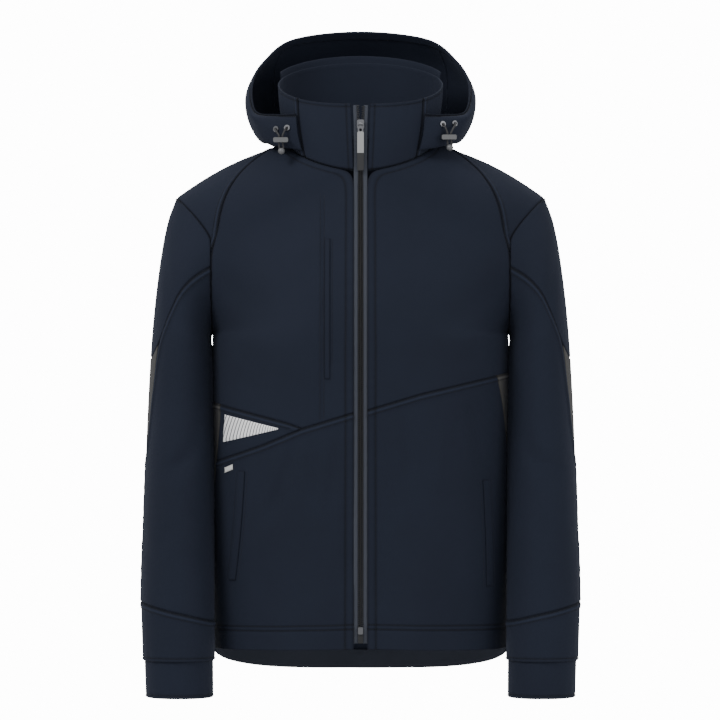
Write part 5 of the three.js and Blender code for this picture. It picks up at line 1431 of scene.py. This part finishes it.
def uneven_group():
    """Slow noise over the object, as a factor near 1: 1 plus Amount times the noise less its mean."""
    group, given, out = new_group("uneven", (("Scale", 9.0), ("Amount", 0.3)),
                                  (("Factor", "NodeSocketFloat"),))
    place = group.nodes.new("ShaderNodeTexCoord")
    noise = group.nodes.new("ShaderNodeTexNoise")
    noise.inputs["Detail"].default_value = 4.0
    group.links.new(place.outputs["Object"], noise.inputs["Vector"])
    group.links.new(given.outputs["Scale"], noise.inputs["Scale"])
    less_mean = math_node(group, "SUBTRACT", noise.outputs[0], 0.5)
    change = math_node(group, "MULTIPLY", less_mean, given.outputs["Amount"])
    group.links.new(math_node(group, "ADD", change, 1.0), out.inputs["Factor"])
    return group


def seam_painted_light_group():
    """The painted shade and painted highlight kept in the second texture layer, as a factor: 1 on plain
    cloth, less in seams and along stitches, more on a raised band.
    """
    group, _, out = new_group("seam painted light", (), (("Factor", "NodeSocketFloat"),))
    uv = group.nodes.new("ShaderNodeUVMap")
    uv.uv_map = "seam"
    split = group.nodes.new("ShaderNodeSeparateXYZ")
    group.links.new(uv.outputs[0], split.inputs[0])
    # one plus the stored value: painted shade below 1, painted highlight above 1
    group.links.new(math_node(group, "ADD", split.outputs[0], 1.0), out.inputs["Factor"])
    return group


WEAVE, UNEVEN, SEAM_PAINTED_LIGHT = weave_group(), uneven_group(), seam_painted_light_group()


def linear(*rgb):
    """A colour given as screen values from 0 to 255, as the linear values that a shader takes."""
    share = np.array(rgb) / 255
    return (*np.where(share <= 0.04045, share / 12.92, ((share + 0.055) / 1.055) ** 2.4).tolist(), 1.0)


def material(name, colour, roughness, metallic=0.0, sheen=0.0, pitch=None, depth=0.0, uneven=0.0,
             specular=0.5):
    """A Principled material. With a pitch, in metres, it gets the weave as a bump; with uneven it gets the
    slow change of tone and the painted shade and painted highlight of the seams."""
    made = bpy.data.materials.new(name)
    made.use_nodes = True
    tree = made.node_tree
    shader = tree.nodes["Principled BSDF"]
    shader.inputs["Base Color"].default_value = colour
    shader.inputs["Roughness"].default_value = roughness
    shader.inputs["Metallic"].default_value = metallic
    shader.inputs["Specular IOR Level"].default_value = specular
    if sheen:
        shader.inputs["Sheen Weight"].default_value = sheen
        shader.inputs["Sheen Roughness"].default_value = 0.45
        shader.inputs["Sheen Tint"].default_value = (0.62, 0.72, 1.0, 1.0)
    if uneven:
        group = tree.nodes.new("ShaderNodeGroup")
        group.node_tree = UNEVEN
        group.inputs["Amount"].default_value = uneven
        tone = tree.nodes.new("ShaderNodeVectorMath")
        tone.operation = "SCALE"
        tone.inputs[0].default_value = colour[:3]
        # painted shade and painted highlight of the seams, multiplied into the colour with the uneven tone
        seams = tree.nodes.new("ShaderNodeGroup")
        seams.node_tree = SEAM_PAINTED_LIGHT
        both = math_node(tree, "MULTIPLY", group.outputs["Factor"], seams.outputs["Factor"])
        tree.links.new(both, tone.inputs["Scale"])
        tree.links.new(tone.outputs[0], shader.inputs["Base Color"])
    if pitch:
        group = tree.nodes.new("ShaderNodeGroup")
        group.node_tree = WEAVE
        group.inputs["Pitch"].default_value = pitch
        bump = tree.nodes.new("ShaderNodeBump")
        bump.inputs["Strength"].default_value = depth
        bump.inputs["Distance"].default_value = 0.0003
        tree.links.new(group.outputs["Height"], bump.inputs["Height"])
        tree.links.new(bump.outputs[0], shader.inputs["Normal"])
    MATERIALS[name] = made
    return made


material("shell_cloth", linear(29, 34, 47), 0.85,
         sheen=0.05, pitch=0.0011, depth=0.25, uneven=0.3, specular=0.15)
material("contrast_cloth", linear(74, 73, 71), 0.85,
         sheen=0.05, pitch=0.0013, depth=0.3, uneven=0.3, specular=0.2)
material("inside_cloth", linear(52, 56, 66), 0.88,
         sheen=0.05, pitch=0.0015, depth=0.3, uneven=0.1, specular=0.15)
material("thread", linear(20, 23, 31), 0.55, specular=0.4)
material("label_cloth", linear(225, 225, 222), 0.75, pitch=0.0008, depth=0.3, uneven=0.02)
material("zip_tape", linear(62, 66, 76), 0.8, pitch=0.0009, depth=0.5, specular=0.3)
material("zip_teeth", linear(26, 27, 30), 0.35)
material("metal", linear(120, 121, 125), 0.32, metallic=1.0)
material("lock_plastic", linear(96, 97, 99), 0.4)
material("cord", linear(44, 44, 47), 0.75)


def two_colours(made, choice, first, second):
    """Gives a material its first colour where the choice is 0, and the second where it is 1."""
    tree = made.node_tree
    blend = tree.nodes.new("ShaderNodeMix")
    blend.data_type = "RGBA"
    blend.inputs["A"].default_value = first
    blend.inputs["B"].default_value = second
    tree.links.new(choice, blend.inputs["Factor"])
    tree.links.new(blend.outputs["Result"], tree.nodes["Principled BSDF"].inputs["Base Color"])


def reflective_material():
    """Silver print with slanted gaps: a wave of the texture position across the triangle, cut to narrow
    dark lines that stand a little further apart towards the wide end."""
    silver, gap_colour = linear(252, 252, 254), linear(52, 56, 66)
    made = material("reflective_print", silver, 0.45)
    tree = made.node_tree
    uv = tree.nodes.new("ShaderNodeUVMap")
    uv.uv_map = "cloth"
    split = tree.nodes.new("ShaderNodeSeparateXYZ")
    tree.links.new(uv.outputs[0], split.inputs[0])
    slant = math_node(tree, "ADD", split.outputs[0], math_node(tree, "MULTIPLY", split.outputs[1], 0.45))
    spread = math_node(tree, "POWER", math_node(tree, "DIVIDE", slant, 0.08), 0.8)
    wave = math_node(tree, "FRACT", math_node(tree, "MULTIPLY", spread, 16.0))
    two_colours(made, math_node(tree, "LESS_THAN", wave, 0.24), silver, gap_colour)


def pull_material():
    """The pull's rubber: pale above a line across the tab, dark below it."""
    pale, dark = linear(150, 151, 152), linear(34, 35, 38)
    made = material("pull_rubber", pale, 0.45)
    tree = made.node_tree
    place = tree.nodes.new("ShaderNodeTexCoord")
    split = tree.nodes.new("ShaderNodeSeparateXYZ")
    tree.links.new(place.outputs["Object"], split.inputs[0])
    two_colours(made, math_node(tree, "LESS_THAN", split.outputs[2], PULL_LINE), pale, dark)


PULL_LINE = -0.0095  # height at which the pull turns dark, metres
reflective_material()
pull_material()
print("materials:", ", ".join(MATERIALS))

# %% [markdown]
# ## Each piece in its slot, and the made pieces on the jacket's body
#
# The cloth pieces, the stitching and the cords are put on the jacket's body. A cloth piece takes the place of
# the solid of the same name, which is hidden. The zip's pull, which turns on the slider, and the other small
# hard pieces are kept as they are and only get softer edges and a better material.

# %%
SLOTS = {
    "side_panel": "contrast_cloth", "elbow_panel": "contrast_cloth", "hem_facing": "inside_cloth",
    "reflective_triangle": "reflective_print", "label_tab": "label_cloth", "zip_tape": "zip_tape",
    "zip_teeth": "zip_teeth",
}
# Pieces that the loop over the cut sizes passes over, and the sheet that each one lies on
CARRIED = {
    "front_lower_left": ["label_tab", "hand_pocket_welt_left"],
    "front_lower_right": ["hand_pocket_welt_right"],
    "front_wedge_left": ["reflective_triangle"],
    "front_upper_left": ["chest_pocket_welt", "zip_tape_left", "zip_teeth_left"],
    "front_upper_right": ["zip_tape_right", "zip_teeth_right"],
    "collar": ["stitching"],
}
SMALL = {name for names in CARRIED.values() for name in names}


def slot_of(name):
    """Slot of a piece, by the start of its name."""
    return next((slot for start, slot in SLOTS.items() if name.startswith(start)), "shell_cloth")


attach(stitching, "jacket")
stitching.data.materials.append(MATERIALS["thread"])
for name, piece in PIECES.items():
    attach(piece, "jacket")
    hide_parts(name)
    piece.data.materials.append(MATERIALS[slot_of(name)])
for name, (width, length, area) in CUTS.items():
    if name in SMALL:
        continue
    width = min(width, 2 * area / length)  # of a piece that runs to points: a triangle's with its area
    share = min(area / (width * length), 0.999)
for made, _, _ in CORDS.values():
    made.data.materials.append(MATERIALS["cord"])

KEPT = {
    "metal": ["zip_slider", "zip_pull_link", "zip_bottom_stop",
              "eyelet_left_1", "eyelet_left_2", "eyelet_right_1", "eyelet_right_2"],
    "pull_rubber": ["zip_pull_tab"],
    "zip_teeth": ["zip_bottom_box"],
    "lock_plastic": ["cord_lock_left", "cord_lock_right", "cord_end_left", "cord_end_right"],
}
for slot, names in KEPT.items():
    for name in names:
        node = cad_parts[name]
        node.data.materials.clear()
        node.data.materials.append(MATERIALS[slot])
        soften(node, 0.00025, 2, "ANGLE")
print("kept solids:", sum(len(names) for names in KEPT.values()))

# %% [markdown]
# ## Light and floor
#
# The photograph is taken in a white room with large soft lights: the cloth shows no hard shadow, and the
# background is white. A white world gives that: it looks bright to the camera, but sheds little light. Four
# wide lights shape the cloth: the strongest stands high on the left, a weaker one on the right, one above and
# behind the shoulders, and a faint one far in front. The floor is a pale disc, well below the jacket.

# %%
scene = bpy.context.scene
world = bpy.data.worlds.new("studio")
world.use_nodes = True
backdrop = world.node_tree.nodes["Background"]
backdrop.inputs["Color"].default_value = (1, 1, 1, 1)
SEEN, SHED = 14.0, 0.6  # how bright the white room looks, and how much light it gives
light_path = world.node_tree.nodes.new("ShaderNodeLightPath")
brightness = world.node_tree.nodes.new("ShaderNodeMapRange")
brightness.inputs["To Min"].default_value = SHED
brightness.inputs["To Max"].default_value = SEEN
world.node_tree.links.new(light_path.outputs["Is Camera Ray"], brightness.inputs["Value"])
world.node_tree.links.new(brightness.outputs["Result"], backdrop.inputs["Strength"])
scene.world = world


def soft_light(name, place, size, power):
    """A square area light that looks at the middle of the jacket."""
    data = bpy.data.lights.new(name, "AREA")
    data.shape, data.size, data.energy = "SQUARE", size, power
    light = bpy.data.objects.new(name, data)
    light.location = place
    light.rotation_euler = (Vector((0, 0, -0.3)) - Vector(place)).to_track_quat("-Z", "Y").to_euler()
    scene.collection.objects.link(light)
    return light


soft_light("key", (-1.7, -1.4, 1.7), 1.0, 46)
soft_light("fill", (2.2, -1.8, 0.4), 1.4, 20)
soft_light("top", (0.2, 0.7, 2.2), 1.2, 22)
soft_light("front", (0.3, -3.2, 1.1), 1.6, 10)

FLOOR_RADIUS, FLOOR_HEIGHT = 1900, -1080
turn = np.linspace(0, 2 * np.pi, 96, endpoint=False)
rim = np.stack([FLOOR_RADIUS * np.cos(turn), FLOOR_RADIUS * np.sin(turn),
                np.full_like(turn, FLOOR_HEIGHT)], -1)
floor_points = np.concatenate([rim, rim * [0.0001, 0.0001, 1]])  # the inner ring all but closes the disc
floor_faces = grid_faces(2, len(turn), ring=True)
floor = make_mesh("floor", floor_points, floor_faces)
floor.data.materials.append(material("floor", linear(236, 236, 236), 0.9))
